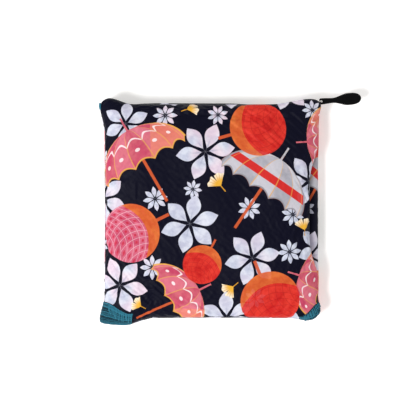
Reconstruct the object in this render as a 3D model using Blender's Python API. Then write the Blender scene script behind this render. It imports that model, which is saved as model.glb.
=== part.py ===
"""Foldable nylon bag, packed into its own zipped pouch.

Metres, +Z up. The pouch lies flat: +X is its right side, +Y is its zipped edge,
and the origin is on the floor under its middle.
"""
import math

import bmesh
import bpy
import numpy as np
from mathutils import Matrix

# Pouch: the square between the middles of its edges, and its stuffed height
POUCH_WIDTH = 0.1408
POUCH_DEPTH = 0.1402
POUCH_HEIGHT = 0.0230
CLOTH = 0.0006
SEAM_HEIGHT = 0.0110

# Two pieces that touch keep this gap
GAP = 0.0003

# The edges bow in between the corners, which stand out as soft ears. Each row is for the near
# corners and then the far ones, left before right: how far an ear stands out along X and along Y,
# at which share of the edge it starts, and how much of its tip is rounded off
EDGE_BOW = 0.0008
EAR_RUN_SHARE = 0.26
EAR_ALONG_X = ((0.0038, 0.0036), (0.0038, 0.0030))
EAR_ALONG_Y = ((0.0042, 0.0018), (0.0040, 0.0040))
EAR_START_SHARE_X = ((0.74, 0.74), (0.68, 0.74))
EAR_START_SHARE_Y = ((0.50, 0.55), (0.70, 0.72))
TIP_ROUND = ((0.0020, 0.0046), (0.0048, 0.0012))
TIP_POWER = 10

# Shoulders, and the long shallow swells that the folded layers raise in the cloth: each wave's
# direction, length, phase and share
SHOULDER_POWER = 6.0
SHOULDER_ROUND = 0.45
REST_SHARE = 1.07
CREASE_DEPTH = 0.0005
CREASE_WAVES = ((1.2, 0.5, 0.052, 1.0, 0.6), (0.5, -1.3, 0.064, 2.1, 0.4))

# The front panel's right edge is drawn in, and the back panel bulges out below it
RIGHT_DENT = 0.0057
RIGHT_SPAN_SHARE = 0.47
RIGHT_SEAM_LIFT = 0.0035
RIGHT_BULGE = 0.0068
SIDE_BULGE = 0.0010

# Mouth: the opening between the two hems, which the zip closes
MOUTH_HEIGHT = 0.0084
MOUTH_INSET = 0.0098
MOUTH_RUN = 0.0055

# Zip: tapes, coils and stops, all along X. Its ends and its depth follow the pouch
ZIP_SHORT_LEFT = 0.0011
ZIP_PAST_RIGHT = 0.0013
TAPE_THICKNESS = 0.0004
TAPE_INSET = 0.0024
TAPE_EDGE = 0.0006
TAPE_LANE = 0.0035
TAPE_REACH = 0.0068
TAPE_LEAN = 0.0018
TAPE_TONGUE_INSET = 0.0054
TAPE_TAPER = 0.0040
COIL_HEIGHT = 0.0013
COIL_PITCH = 0.0015
COIL_TIP = 0.0005
COIL_SPINE = 0.0015
COIL_EDGE = 0.0021
TOOTH_FOOT_SHARE = 0.60
TOOTH_TIP_SHARE = 0.40
STOP_LENGTH = 0.0012
STOP_PROUD = 0.00025
STOP_WIDE = 0.0008

# Slider, with a bail that arches over its outer plate
SLIDER_LENGTH = 0.0086
SLIDER_FRONT_WIDTH = 0.0066
SLIDER_REAR_WIDTH = 0.0058
SLIDER_PLATE = 0.00065
SLIDER_CLEARANCE = 0.00035
SLIDER_CORNER = 0.0013
SLIDER_CHAMFER = 0.0002
POST_WIDTH = 0.0005
POST_LENGTH = 0.0016
BAIL_SPAN = 0.0064
BAIL_HEIGHT = 0.0024
BAIL_WIDTH = 0.0010
BAIL_THICKNESS = 0.0007

# Link: the ring between the bail and the puller
LINK_WIRE = 0.0008
LINK_LENGTH = 0.0050
LINK_WIDTH = 0.0048
LINK_ANGLE = math.radians(10.0)
LINK_AHEAD = 0.0018

# Puller: a moulded paddle with an eye in its flared root. It is measured along its middle from
# the eye, and tip and dish are the lengths over which it rounds off and dips
PULLER_ANGLE = math.radians(5.0)
PULLER_LENGTH = 0.0262
PULLER_ROOT = 0.0016
PULLER_ROOT_WIDTH = 0.0042
PULLER_NECK_PLACE = 0.0074
PULLER_NECK_WIDTH = 0.0034
PULLER_WIDE_PLACE = 0.0176
PULLER_WIDTH = 0.0080
PULLER_TIP = 0.0087
PULLER_TIP_POWER = 3.3
PULLER_THICKNESS = 0.0024
PULLER_EDGE = 0.0002
PULLER_DISH = 0.0055
PULLER_DISH_SHARE = 0.22

# Folded tote inside the pouch
FOLD_LAYERS = 6
FOLD_CLEARANCE = 0.0006
FOLD_GROOVE = 0.0012
FOLD_SQUARENESS = 6.0

# Overlocked corner seams: each one's reach in shares of the half width and then of the half
# depth, and how far the left one's inner edge slants
SEAM_SHARES_LEFT = (-1.0, -0.72, -1.0, -0.80)
SEAM_SLANT_SHARE = -0.10
SEAM_SHARES_RIGHT = (0.82, 1.0, -1.0, -0.88)
SEAM_SHARES_TOP = (-1.0, -0.97, 0.76, 0.88)
STITCH_ROWS = 8
STITCH_THICKNESS = 0.0007
STITCH_RIDGE = 0.0003
STITCH_COUNT = 12

FRONT_CELLS = 26
BACK_CELLS = 22
TAPE_CELLS = 40
FOLD_AROUND = 40
ROUND_STEPS = 4

MOUTH_START = POUCH_DEPTH / 2 - MOUTH_INSET
ZIP_LEFT = ZIP_SHORT_LEFT - POUCH_WIDTH / 2
ZIP_RIGHT = ZIP_PAST_RIGHT + POUCH_WIDTH / 2
TAPE_INNER_Y = POUCH_DEPTH / 2 - TAPE_INSET
TAPE_TONGUE = POUCH_WIDTH / 2 - TAPE_TONGUE_INSET
COIL_INNER_Y = TAPE_INNER_Y + TAPE_THICKNESS + GAP
COIL_OUTER_Y = COIL_INNER_Y + COIL_HEIGHT
COIL_RIGHT = ZIP_RIGHT - STOP_LENGTH - 2 * GAP
COIL_LEFT = ZIP_LEFT + STOP_LENGTH + 2 * GAP
SLIDER_INNER_Y = TAPE_INNER_Y - SLIDER_CLEARANCE - SLIDER_PLATE
SLIDER_OUTER_Y = COIL_OUTER_Y + SLIDER_CLEARANCE + SLIDER_PLATE
SLIDER_X = COIL_RIGHT - SLIDER_LENGTH / 2
LINK_X = SLIDER_X + LINK_AHEAD
LINK_Y = SLIDER_OUTER_Y + (BAIL_HEIGHT - BAIL_THICKNESS) / 2
EYE_X = LINK_X + LINK_LENGTH * math.cos(LINK_ANGLE)
EYE_Y = LINK_Y + LINK_LENGTH * math.sin(LINK_ANGLE)

FRONT = 1.0
BACK = -1.0


def clear_scene():
    """Remove every object, so that only the part is left."""
    for item in list(bpy.data.objects):
        bpy.data.objects.remove(item, do_unlink=True)


def material(name, colour, roughness, metallic=0.0):
    """A Principled material with one colour."""
    made = bpy.data.materials.new(name)
    made.use_nodes = True
    shader = made.node_tree.nodes["Principled BSDF"]
    shader.inputs["Base Color"].default_value = (*colour, 1.0)
    shader.inputs["Roughness"].default_value = roughness
    shader.inputs["Metallic"].default_value = metallic
    return made


def add_object(name, mesh, finish):
    """Link a mesh to the scene under its sub-part's name."""
    made = bpy.data.objects.new(name, mesh)
    bpy.context.scene.collection.objects.link(made)
    if finish is not None:
        mesh.materials.append(finish)
    return made


def mesh_from(name, points, faces):
    """A smooth-shaded mesh from arrays of points and faces."""
    mesh = bpy.data.meshes.new(name)
    mesh.from_pydata(np.asarray(points).tolist(), [], faces)
    mesh.validate()
    mesh.shade_smooth()
    mesh.set_sharp_from_angle(angle=math.radians(40.0))
    return mesh


def turned_outwards(mesh):
    """Flip a closed mesh whose faces all point inwards, which its signed volume shows."""
    shape = bmesh.new()
    shape.from_mesh(mesh)
    if shape.calc_volume(signed=True) < 0.0:
        bmesh.ops.reverse_faces(shape, faces=shape.faces)
    shape.to_mesh(mesh)
    shape.free()
    return mesh


def make_cutter(name, mesh):
    """A hidden helper that a Boolean reads."""
    made = add_object(name, mesh, None)
    made.hide_render = True
    made.display_type = "WIRE"
    return made


def boolean(target, helper, operation):
    """Join or cut a target with a helper."""
    step = target.modifiers.new(operation.title(), "BOOLEAN")
    step.operation = operation
    step.solver = "EXACT"
    step.object = helper


def smooth_step(value):
    """Ease from 0 to 1 as the value goes from 0 to 1."""
    share = np.clip(value, 0.0, 1.0)
    return share * share * (3.0 - 2.0 * share)


def at_corner(values, u, v):
    """The value of the corner in whose quarter the point (u, v) lies."""
    near, far = values
    return np.where(v < 0.0, np.where(u < 0.0, *near), np.where(u < 0.0, *far))


def half_width(u, v):
    """How far the side edge stands from the middle at the share v of the depth."""
    along = np.abs(v)
    ear = smooth_step((along - at_corner(EAR_START_SHARE_X, u, v)) / EAR_RUN_SHARE)
    dent = np.where(u > 0.0, RIGHT_DENT * right_bump(v), 0.0)
    return POUCH_WIDTH / 2 + EDGE_BOW * along ** 2 + at_corner(EAR_ALONG_X, u, v) * ear - dent


def half_depth(u, v):
    """How far the near or far edge stands from the middle at the share u of the width."""
    across = np.abs(u)
    ear = smooth_step((across - at_corner(EAR_START_SHARE_Y, u, v)) / EAR_RUN_SHARE)
    return POUCH_DEPTH / 2 + EDGE_BOW * across ** 2 + at_corner(EAR_ALONG_Y, u, v) * ear


def tip_rounding(u, v):
    """How much the corner's tip is drawn in."""
    return at_corner(TIP_ROUND, u, v) * np.abs(u * v) ** TIP_POWER


def right_bump(v):
    """1 along the middle of the right edge, falling to 0 towards its corners."""
    return np.exp(-(v / RIGHT_SPAN_SHARE) ** 6)


def plan(u, v, grow):
    """Place on the floor plan of the point (u, v), both from -1 to 1, grown outwards."""
    reach = grow - tip_rounding(u, v)
    return u * (half_width(u, v) + reach), v * (half_depth(u, v) + reach)


def seam_height(u, v, y, side):
    """Height of a panel's hem: both meet at the seam, and part round the mouth."""
    lift = RIGHT_SEAM_LIFT * right_bump(v) * smooth_step(2.0 * u - 1.0)
    mouth = (MOUTH_HEIGHT - GAP) / 2 * smooth_step((y - MOUTH_START) / MOUTH_RUN)
    return SEAM_HEIGHT + lift + side * (GAP / 2 + mouth)


def shoulder(share):
    """1 over the middle, falling to 0 at the edge with a round shoulder."""
    return np.clip(1.0 - np.abs(share) ** SHOULDER_POWER, 0.0, 1.0) ** SHOULDER_ROUND


def shoulder_share(height):
    """The share of the half side at which the shoulder has this height."""
    level = np.clip(height, 0.0, 1.0)
    return (1.0 - level ** (1.0 / SHOULDER_ROUND)) ** (1.0 / SHOULDER_POWER)


def creases(x, y):
    """Long shallow swells that the folded layers raise in the cloth."""
    swell = 0.0
    for toward_x, toward_y, length, phase, share in CREASE_WAVES:
        swell = swell + share * np.sin(2.0 * math.pi * (toward_x * x + toward_y * y) / length + phase)
    return CREASE_DEPTH * swell


def front_surface(u, v, grow):
    """The crowned front panel, from its hem up to the flat of its top."""
    x, y = plan(u, v, grow)
    hem = seam_height(u, v, y, FRONT)
    full = shoulder(u) * shoulder(v)
    z = hem + (POUCH_HEIGHT + grow - hem) * full + creases(x, y) * full ** 2
    return np.stack([x, y, z], axis=-1)


def back_surface(u, v, grow):
    """The dished back panel: flat where it rests, its walls curling up to the hem."""
    x, y = plan(u, v, grow)
    hem = seam_height(u, v, y, BACK)
    full = np.minimum(1.0, REST_SHARE * shoulder(u) * shoulder(v))
    rise = 1.0 - full
    swell = 4.0 * rise * full
    bulge = np.where(u > 0.0, RIGHT_BULGE * right_bump(v), 0.0) + SIDE_BULGE
    x = x + np.sign(u) * bulge * swell * np.abs(u) ** 6
    y = y + np.sign(v) * SIDE_BULGE * swell * np.abs(v) ** 6
    z = hem * rise - grow * full
    return np.stack([x, y, z], axis=-1)


def eased_steps(low, high, cells):
    """Steps between two shares, closer together near the edges at -1 and 1."""
    first = math.asin(low) * 2.0 / math.pi
    last = math.asin(high) * 2.0 / math.pi
    return np.sin(np.linspace(first, last, cells + 1) * math.pi / 2.0)


def shell_faces(rows, columns):
    """Faces of two facing sheets of rows x columns points, joined round their rim."""
    sheet = rows * columns

    def index(row, column):
        return row * columns + column

    faces = []
    for row in range(rows - 1):
        for column in range(columns - 1):
            quad = [index(row, column), index(row + 1, column)]
            quad += [index(row + 1, column + 1), index(row, column + 1)]
            faces.append(quad)
            faces.append([sheet + corner for corner in reversed(quad)])
    rim = [index(0, column) for column in range(columns)]
    rim += [index(row, columns - 1) for row in range(1, rows)]
    rim += [index(rows - 1, column) for column in range(columns - 2, -1, -1)]
    rim += [index(row, 0) for row in range(rows - 2, 0, -1)]
    for place, corner in enumerate(rim):
        following = rim[(place + 1) % len(rim)]
        faces.append([corner, following, sheet + following, sheet + corner])
    return faces


def shell_mesh(name, outer, inner):
    """A closed shell between two grids of points, its faces turned outwards."""
    rows, columns = outer.shape[:2]
    points = np.concatenate([outer.reshape(-1, 3), inner.reshape(-1, 3)])
    return turned_outwards(mesh_from(name, points, shell_faces(rows, columns)))


def make_panel(name, surface, cells, finish):
    """One panel of the pouch: a shell of cloth with its hem as a flat rim."""
    steps = eased_steps(-1.0, 1.0, cells)
    u, v = np.meshgrid(steps, steps, indexing="ij")
    mesh = shell_mesh(name, surface(u, v, 0.0), surface(u, v, -CLOTH))
    return add_object(name, mesh, finish)


def panel_inside_y(x, z, side):
    """Where the inner face of a panel stands at its zipped edge, at a place and height."""
    u = np.clip(x / half_width(np.sign(x), 0.9), -1.0, 1.0)
    hem = SEAM_HEIGHT + side * MOUTH_HEIGHT / 2
    crown = POUCH_HEIGHT - CLOTH if side > 0.0 else CLOTH
    fullest = 1.0 if side > 0.0 else REST_SHARE
    full = (z - hem) / (crown - hem) / fullest
    v = shoulder_share(full / np.maximum(shoulder(u), 0.05))
    return v * (half_depth(u, v) - tip_rounding(u, v) - CLOTH)


def make_tape(name, side, finish):
    """A zip tape: straight where the slider runs, then leaning out to its panel's hem."""
    stations = np.linspace(ZIP_LEFT, ZIP_RIGHT, TAPE_CELLS + 1)
    shares = np.array([0.0, 0.5, 1.0, 1.35, 1.7, 2.0])
    x, share = np.meshgrid(stations, shares, indexing="ij")
    narrowing = smooth_step((np.abs(x) - TAPE_TONGUE) / TAPE_TAPER)
    reach = TAPE_REACH + (TAPE_LANE - TAPE_REACH) * narrowing
    straight = TAPE_EDGE + (TAPE_LANE - TAPE_EDGE) * np.minimum(share, 1.0)
    beyond = np.clip(share - 1.0, 0.0, 1.0)
    rise = straight + (reach - TAPE_LANE) * beyond
    z = SEAM_HEIGHT + side * rise
    seat = panel_inside_y(x, z, side) - 2 * GAP - TAPE_THICKNESS
    seat = np.minimum(seat, TAPE_INNER_Y + TAPE_LEAN)
    lean = smooth_step(2.5 * beyond) * (1.0 - narrowing)
    y = TAPE_INNER_Y + (seat - TAPE_INNER_Y) * lean
    inner = np.stack([x, y, z], axis=-1)
    outer = inner + np.array([0.0, TAPE_THICKNESS, 0.0])
    return add_object(name, shell_mesh(name, outer, inner), finish)


def prism(name, outline, low, high, place):
    """An outline carried from low to high, each point placed by the place function."""
    count = len(outline)
    bottom = [place(a, b, low) for a, b in outline]
    top = [place(a, b, high) for a, b in outline]
    faces = [list(range(count)), list(range(2 * count - 1, count - 1, -1))]
    for corner in range(count):
        following = (corner + 1) % count
        faces.append([corner, count + corner, count + following, following])
    return turned_outwards(mesh_from(name, bottom + top, faces))


def on_wall(a, b, height):
    """Outlines of the zip are drawn along X and up Z, and carried outwards along Y."""
    return (a, height, SEAM_HEIGHT + b)


def from_side(a, b, height):
    """Outlines of the bail are drawn along X and out Y, and carried along Z."""
    return (a, b, SEAM_HEIGHT + height)


def rounded(corners, radius):
    """An outline with each corner replaced by an arc-like curve."""
    points = []
    count = len(corners)
    for place, corner in enumerate(corners):
        here = np.array(corner)
        before = np.array(corners[place - 1]) - here
        after = np.array(corners[(place + 1) % count]) - here
        start = here + before / np.linalg.norm(before) * radius
        end = here + after / np.linalg.norm(after) * radius
        for step in range(ROUND_STEPS + 1):
            share = step / ROUND_STEPS
            point = (1 - share) ** 2 * start + 2 * share * (1 - share) * here + share ** 2 * end
            points.append(tuple(point))
    return points


def rectangle(left, right, low, high):
    """The four corners of a rectangle, in turn."""
    return [(left, low), (right, low), (right, high), (left, high)]


def make_coil(name, side, finish):
    """One coil of the zip: a spine with a row of teeth that point at the other coil."""
    count = int((COIL_RIGHT - COIL_LEFT) / COIL_PITCH) - 1
    shift = 0.0 if side > 0.0 else COIL_PITCH / 2
    slope = (TOOTH_FOOT_SHARE - TOOTH_TIP_SHARE) / 2 * COIL_PITCH
    outline = [(COIL_LEFT, side * COIL_EDGE), (COIL_LEFT, side * COIL_SPINE)]
    for tooth in range(count):
        foot = COIL_LEFT + shift + (tooth + (1.0 - TOOTH_FOOT_SHARE) / 2) * COIL_PITCH
        heel = foot + TOOTH_FOOT_SHARE * COIL_PITCH
        outline.append((foot, side * COIL_SPINE))
        outline.append((foot + slope, side * COIL_TIP))
        outline.append((heel - slope, side * COIL_TIP))
        outline.append((heel, side * COIL_SPINE))
    outline += [(COIL_RIGHT, side * COIL_SPINE), (COIL_RIGHT, side * COIL_EDGE)]
    return add_object(name, prism(name, outline, COIL_INNER_Y, COIL_OUTER_Y, on_wall), finish)


def make_stop(name, left, low, high, finish):
    """A stop clamped on the tape at the end of the coils, proud of the slider's lane."""
    outline = rounded(rectangle(left, left + STOP_LENGTH, low, high), STOP_LENGTH / 4)
    mesh = prism(name, outline, COIL_INNER_Y, COIL_OUTER_Y + STOP_PROUD, on_wall)
    return add_object(name, mesh, finish)


def chamfer(mesh, width):
    """Break the sharp edges of a mesh by a small width."""
    shape = bmesh.new()
    shape.from_mesh(mesh)
    sharp = [edge for edge in shape.edges if edge.calc_face_angle(0.0) > math.radians(60.0)]
    bmesh.ops.bevel(shape, geom=sharp, offset=width, segments=1, affect="EDGES")
    shape.to_mesh(mesh)
    shape.free()


def moved_to_axis(mesh, x, y):
    """Shift a mesh so that its own origin is the point where its joint acts."""
    mesh.transform(Matrix.Translation((-x, -y, -SEAM_HEIGHT)))
    return mesh


def slider_helper(name, outline, low, high, place, operation, slider):
    """Cut from, or join to, the slider one prism drawn about the slider's middle."""
    helper = make_cutter(name, moved_to_axis(prism(name, outline, low, high, place), 0.0, 0.0))
    helper.location = (SLIDER_X, 0.0, SEAM_HEIGHT)
    boolean(slider, helper, operation)


def make_slider(finish):
    """The slider: two plates on one post, side walls round the coils, and the bail."""
    half = SLIDER_LENGTH / 2
    rear = SLIDER_REAR_WIDTH / 2
    front = SLIDER_FRONT_WIDTH / 2
    corners = [(-half, -rear), (half, -front), (half, front), (-half, rear)]
    body = prism("slider", rounded(corners, SLIDER_CORNER), SLIDER_INNER_Y, SLIDER_OUTER_Y, on_wall)
    chamfer(body, SLIDER_CHAMFER)
    slider = add_object("slider", moved_to_axis(body, 0.0, 0.0), finish)
    slider.location = (SLIDER_X, 0.0, SEAM_HEIGHT)

    floor = SLIDER_INNER_Y + SLIDER_PLATE
    roof = SLIDER_OUTER_Y - SLIDER_PLATE
    lane = COIL_EDGE + GAP
    past = SLIDER_LENGTH / 8
    post_left = half - SLIDER_CORNER / 2 - POST_LENGTH
    for side, word in ((1, "upper"), (-1, "lower")):
        inside = side * POST_WIDTH / 2
        low, high = sorted((inside, side * lane))
        channel = rectangle(-half - past, half + past, low, high)
        slider_helper("cut_" + word + "_lane", channel, floor, roof, on_wall, "DIFFERENCE", slider)
        low, high = sorted((inside, side * (front + past)))
        slot = rectangle(-half - past, half + past, low, high)
        slot_roof = TAPE_INNER_Y + TAPE_THICKNESS + SLIDER_CLEARANCE
        slider_helper("cut_" + word + "_slot", slot, floor, slot_roof, on_wall, "DIFFERENCE", slider)
    behind = rectangle(-half - past, post_left, -POST_WIDTH, POST_WIDTH)
    slider_helper("cut_behind_post", behind, floor, roof, on_wall, "DIFFERENCE", slider)
    ahead = rectangle(post_left + POST_LENGTH, half + past, -POST_WIDTH, POST_WIDTH)
    slider_helper("cut_ahead_of_post", ahead, floor, roof, on_wall, "DIFFERENCE", slider)

    sunk = SLIDER_OUTER_Y - SLIDER_PLATE / 2
    top = SLIDER_OUTER_Y + BAIL_HEIGHT
    outer = rectangle(-BAIL_SPAN / 2, BAIL_SPAN / 2, sunk, top)
    window = rectangle(BAIL_THICKNESS - BAIL_SPAN / 2, BAIL_SPAN / 2 - BAIL_THICKNESS,
                       SLIDER_OUTER_Y, top - BAIL_THICKNESS)
    arch = [outer[0], outer[1]] + rounded(outer, BAIL_HEIGHT / 2)[2 * (ROUND_STEPS + 1):]
    bail = prism("bail", arch, -BAIL_WIDTH / 2, BAIL_WIDTH / 2, from_side)
    bail_helper = make_cutter("bail", moved_to_axis(bail, 0.0, 0.0))
    bail_helper.location = (SLIDER_X, 0.0, SEAM_HEIGHT)
    slider_helper("bail_window", rounded(window, BAIL_THICKNESS), -BAIL_WIDTH, BAIL_WIDTH,
                  from_side, "DIFFERENCE", bail_helper)
    boolean(slider, bail_helper, "UNION")
    return slider


def make_link(finish):
    """The link: a wire ring whose inner bar lies under the bail and turns there."""
    half = LINK_WIDTH / 2
    corners = [(0.0, -half), (LINK_LENGTH, -half), (LINK_LENGTH, half), (0.0, half)]
    path = rounded(corners, LINK_WIRE * 1.4)
    curve = bpy.data.curves.new("link_path", "CURVE")
    curve.dimensions = "3D"
    curve.bevel_depth = LINK_WIRE / 2
    curve.bevel_resolution = 2
    spline = curve.splines.new("POLY")
    spline.points.add(len(path) - 1)
    for point, (along, up) in zip(spline.points, path):
        point.co = (along, 0.0, up, 1.0)
    spline.use_cyclic_u = True
    guide = bpy.data.objects.new("link_path", curve)
    bpy.context.scene.collection.objects.link(guide)
    mesh = bpy.data.meshes.new_from_object(guide)
    bpy.data.objects.remove(guide, do_unlink=True)
    mesh.materials.clear()
    mesh.shade_smooth()
    link = add_object("link", mesh, finish)
    link.location = (LINK_X, LINK_Y, SEAM_HEIGHT)
    link.rotation_euler = (0.0, 0.0, LINK_ANGLE)
    return link


def puller_half_width(station):
    """Half the puller's width: a flared root round the eye at 0, a neck, and a wide blunt paddle."""
    narrowing = 1.0 - smooth_step(station / PULLER_NECK_PLACE)
    flare = smooth_step((station - PULLER_NECK_PLACE) / (PULLER_WIDE_PLACE - PULLER_NECK_PLACE))
    width = PULLER_NECK_WIDTH + (PULLER_ROOT_WIDTH - PULLER_NECK_WIDTH) * narrowing
    width = width + (PULLER_WIDTH - PULLER_NECK_WIDTH) * flare
    root = np.clip(-station / PULLER_ROOT, 0.0, 1.0)
    tip = np.clip((station - PULLER_LENGTH + PULLER_TIP) / PULLER_TIP, 0.0, 1.0)
    return width / 2 * (1.0 - root ** 4) ** 0.5 * (1.0 - tip ** PULLER_TIP_POWER) ** 0.5


def make_puller(finish):
    """The puller: a domed paddle, thin at its eye, which hangs on the link's outer bar."""
    turns = np.linspace(0.0, math.pi, 29)
    stations = -PULLER_ROOT + (PULLER_LENGTH + PULLER_ROOT) * (1.0 - np.cos(turns)) / 2.0
    stations = stations[1:-1]
    across = np.sin(np.linspace(-math.pi / 2.0, math.pi / 2.0, 11))
    station, share = np.meshgrid(stations, across, indexing="ij")
    width = puller_half_width(station)
    end = np.clip(width / (PULLER_WIDTH / 4), 0.0, 1.0)
    dome = (1.0 - np.abs(share) ** 4) ** 0.5 * (0.55 + 0.45 * end)
    dish = PULLER_DISH_SHARE * np.exp(-((station - PULLER_WIDE_PLACE) / PULLER_DISH) ** 2)
    dish = dish * (1.0 - share ** 2)
    thick = PULLER_THICKNESS / 2 * dome * (1.0 - dish)
    top = np.stack([station, width * share, np.maximum(thick, PULLER_EDGE / 2)], axis=-1)
    bottom = top * np.array([1.0, 1.0, -1.0])
    puller = add_object("puller", shell_mesh("puller", top, bottom), finish)
    puller.location = (EYE_X, EYE_Y, SEAM_HEIGHT)
    puller.rotation_euler = (0.0, 0.0, PULLER_ANGLE)

    hole = bpy.data.meshes.new("cut_eye")
    shape = bmesh.new()
    radius = LINK_WIRE / 2 + GAP
    bmesh.ops.create_cone(shape, cap_ends=True, segments=20, radius1=radius, radius2=radius,
                          depth=2 * PULLER_THICKNESS)
    shape.to_mesh(hole)
    shape.free()
    cutter = make_cutter("cut_eye", hole)
    cutter.location = (EYE_X, EYE_Y, SEAM_HEIGHT)
    boolean(puller, cutter, "DIFFERENCE")
    return puller


def stack_half_side(z):
    """Half the side of the space inside the pouch, at a height, as a share of the full one."""
    above = (z - SEAM_HEIGHT) / (POUCH_HEIGHT - CLOTH - CREASE_DEPTH - SEAM_HEIGHT)
    below = (SEAM_HEIGHT - z) / (SEAM_HEIGHT - CLOTH) / REST_SHARE
    return shoulder_share(np.maximum(above, below))


def make_folded_bag(finish):
    """The tote folded into a stack of soft layers, with a groove between each two."""
    spare = CLOTH + FOLD_CLEARANCE
    low = spare
    high = POUCH_HEIGHT - spare - CREASE_DEPTH
    layer = (high - low) / FOLD_LAYERS
    levels = []
    insets = []
    for place in range(FOLD_LAYERS):
        for share, inset in ((0.06, 1.0), (0.3, 0.25), (0.7, 0.25), (0.94, 1.0)):
            levels.append(low + (place + share) * layer)
            insets.append(inset * FOLD_GROOVE)
    level = np.array(levels)
    inset = np.array(insets)
    side = stack_half_side(level)
    left = -(POUCH_WIDTH / 2 - spare) * side + inset
    right = (POUCH_WIDTH / 2 - spare - RIGHT_DENT) * side - inset
    near = -(POUCH_DEPTH / 2 - spare) * side + inset
    far = (SLIDER_INNER_Y - FOLD_CLEARANCE) * np.minimum(side * 1.04, 1.0) - inset
    turn = np.linspace(0.0, 2.0 * math.pi, FOLD_AROUND, endpoint=False)
    power = 2.0 / FOLD_SQUARENESS
    cosine = np.sign(np.cos(turn)) * np.abs(np.cos(turn)) ** power
    sine = np.sign(np.sin(turn)) * np.abs(np.sin(turn)) ** power
    x = ((left + right) / 2)[:, None] + ((right - left) / 2)[:, None] * cosine
    y = ((near + far) / 2)[:, None] + ((far - near) / 2)[:, None] * sine
    z = np.repeat(level[:, None], FOLD_AROUND, axis=1)
    points = np.stack([x, y, z], axis=-1).reshape(-1, 3)
    faces = [list(range(FOLD_AROUND - 1, -1, -1))]
    last = (len(levels) - 1) * FOLD_AROUND
    faces.append([last + corner for corner in range(FOLD_AROUND)])
    for ring in range(len(levels) - 1):
        for corner in range(FOLD_AROUND):
            following = (corner + 1) % FOLD_AROUND
            base = ring * FOLD_AROUND
            above = base + FOLD_AROUND
            faces.append([base + corner, base + following, above + following, above + corner])
    return add_object("folded_bag", mesh_from("folded_bag", points, faces), finish)


def make_stitching(name, seam, slant, finish):
    """Overlocked thread over a corner seam: a ridged band laid on the front panel."""
    left, right, near, far = seam
    across = eased_steps(left, right, STITCH_COUNT)
    along = eased_steps(near, far, STITCH_ROWS)
    u, v = np.meshgrid(across, along, indexing="ij")
    share = (v - near) / (far - near)
    v = v + slant * share * smooth_step((u - left) / (right - left))
    ridge = STITCH_RIDGE * (np.arange(STITCH_COUNT + 1) % 2)[:, None]
    inner = front_surface(u, v, GAP)
    outer = front_surface(u, v, GAP + STITCH_THICKNESS + ridge)
    return add_object(name, shell_mesh(name, outer, inner), finish)


def main():
    """Build every sub-part in its place."""
    clear_scene()
    printed = material("printed_nylon", (0.020, 0.019, 0.040), 0.62)
    lining = material("folded_nylon", (0.030, 0.028, 0.052), 0.66)
    tape = material("zip_tape", (0.012, 0.012, 0.016), 0.85)
    coil = material("zip_coil", (0.016, 0.016, 0.020), 0.45)
    metal = material("black_metal", (0.020, 0.020, 0.022), 0.35, 0.85)
    moulded = material("moulded_black", (0.013, 0.013, 0.014), 0.38)
    thread = material("teal_thread", (0.032, 0.155, 0.205), 0.70)

    make_panel("pouch_front", front_surface, FRONT_CELLS, printed)
    make_panel("pouch_back", back_surface, BACK_CELLS, printed)
    make_folded_bag(lining)
    make_tape("zip_tape_front", FRONT, tape)
    make_tape("zip_tape_back", BACK, tape)
    make_coil("zip_coil_front", FRONT, coil)
    make_coil("zip_coil_back", BACK, coil)
    stop_left = ZIP_RIGHT - STOP_LENGTH
    stop_edge = COIL_EDGE + STOP_WIDE
    make_stop("zip_top_stop_front", stop_left, COIL_TIP, stop_edge, metal)
    make_stop("zip_top_stop_back", stop_left, -stop_edge, -COIL_TIP, metal)
    make_stop("zip_bottom_stop", ZIP_LEFT, -stop_edge, stop_edge, metal)
    make_slider(metal)
    make_link(metal)
    make_puller(moulded)
    make_stitching("corner_stitching_left", SEAM_SHARES_LEFT, SEAM_SLANT_SHARE, thread)
    make_stitching("corner_stitching_right", SEAM_SHARES_RIGHT, 0.0, thread)
    make_stitching("corner_stitching_top", SEAM_SHARES_TOP, 0.0, thread)


main()
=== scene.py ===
# %% [markdown]
# A foldable nylon bag, packed into its own zipped pouch.
# The real object is a thin shopping tote that is folded flat and zipped into a square pocket of the
# same printed nylon. This lesson dresses the solid model of it: the cloth gets its soft form and
# print, the zip its coils, the corners their overlocked thread, and then it is lit and framed.
# The frame is loaded first, because every new piece is placed by the solids that it dresses.

# %% Load the solid model as a fixed frame
import math

import bpy
import numpy as np
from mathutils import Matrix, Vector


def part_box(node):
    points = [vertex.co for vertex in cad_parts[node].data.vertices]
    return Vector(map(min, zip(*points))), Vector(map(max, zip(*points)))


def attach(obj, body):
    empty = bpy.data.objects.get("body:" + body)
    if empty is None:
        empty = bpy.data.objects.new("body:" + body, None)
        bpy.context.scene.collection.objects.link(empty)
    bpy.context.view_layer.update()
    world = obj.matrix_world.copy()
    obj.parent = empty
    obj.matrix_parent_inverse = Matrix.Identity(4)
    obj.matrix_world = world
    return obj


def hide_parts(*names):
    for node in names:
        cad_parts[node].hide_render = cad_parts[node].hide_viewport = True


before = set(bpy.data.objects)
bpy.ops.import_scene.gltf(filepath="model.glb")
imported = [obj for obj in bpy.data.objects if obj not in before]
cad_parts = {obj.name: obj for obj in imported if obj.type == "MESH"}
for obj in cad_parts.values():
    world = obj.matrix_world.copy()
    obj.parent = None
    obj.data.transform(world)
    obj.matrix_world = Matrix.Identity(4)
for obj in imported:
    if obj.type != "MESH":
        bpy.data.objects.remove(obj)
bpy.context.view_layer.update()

MM = 0.001

# %% [markdown]
# Every soft piece here is a surface worked out on a grid of two parameters, or a thin tube carried
# along a path. Both come down to a block of points and a block of quads, so one helper turns such
# blocks into a mesh, and the others list the quads. Whole arrays are handed over at once, which is
# quick and leaves no loop over points.

# %% Turn blocks of points into meshes
POUCH = "pouch"


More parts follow.
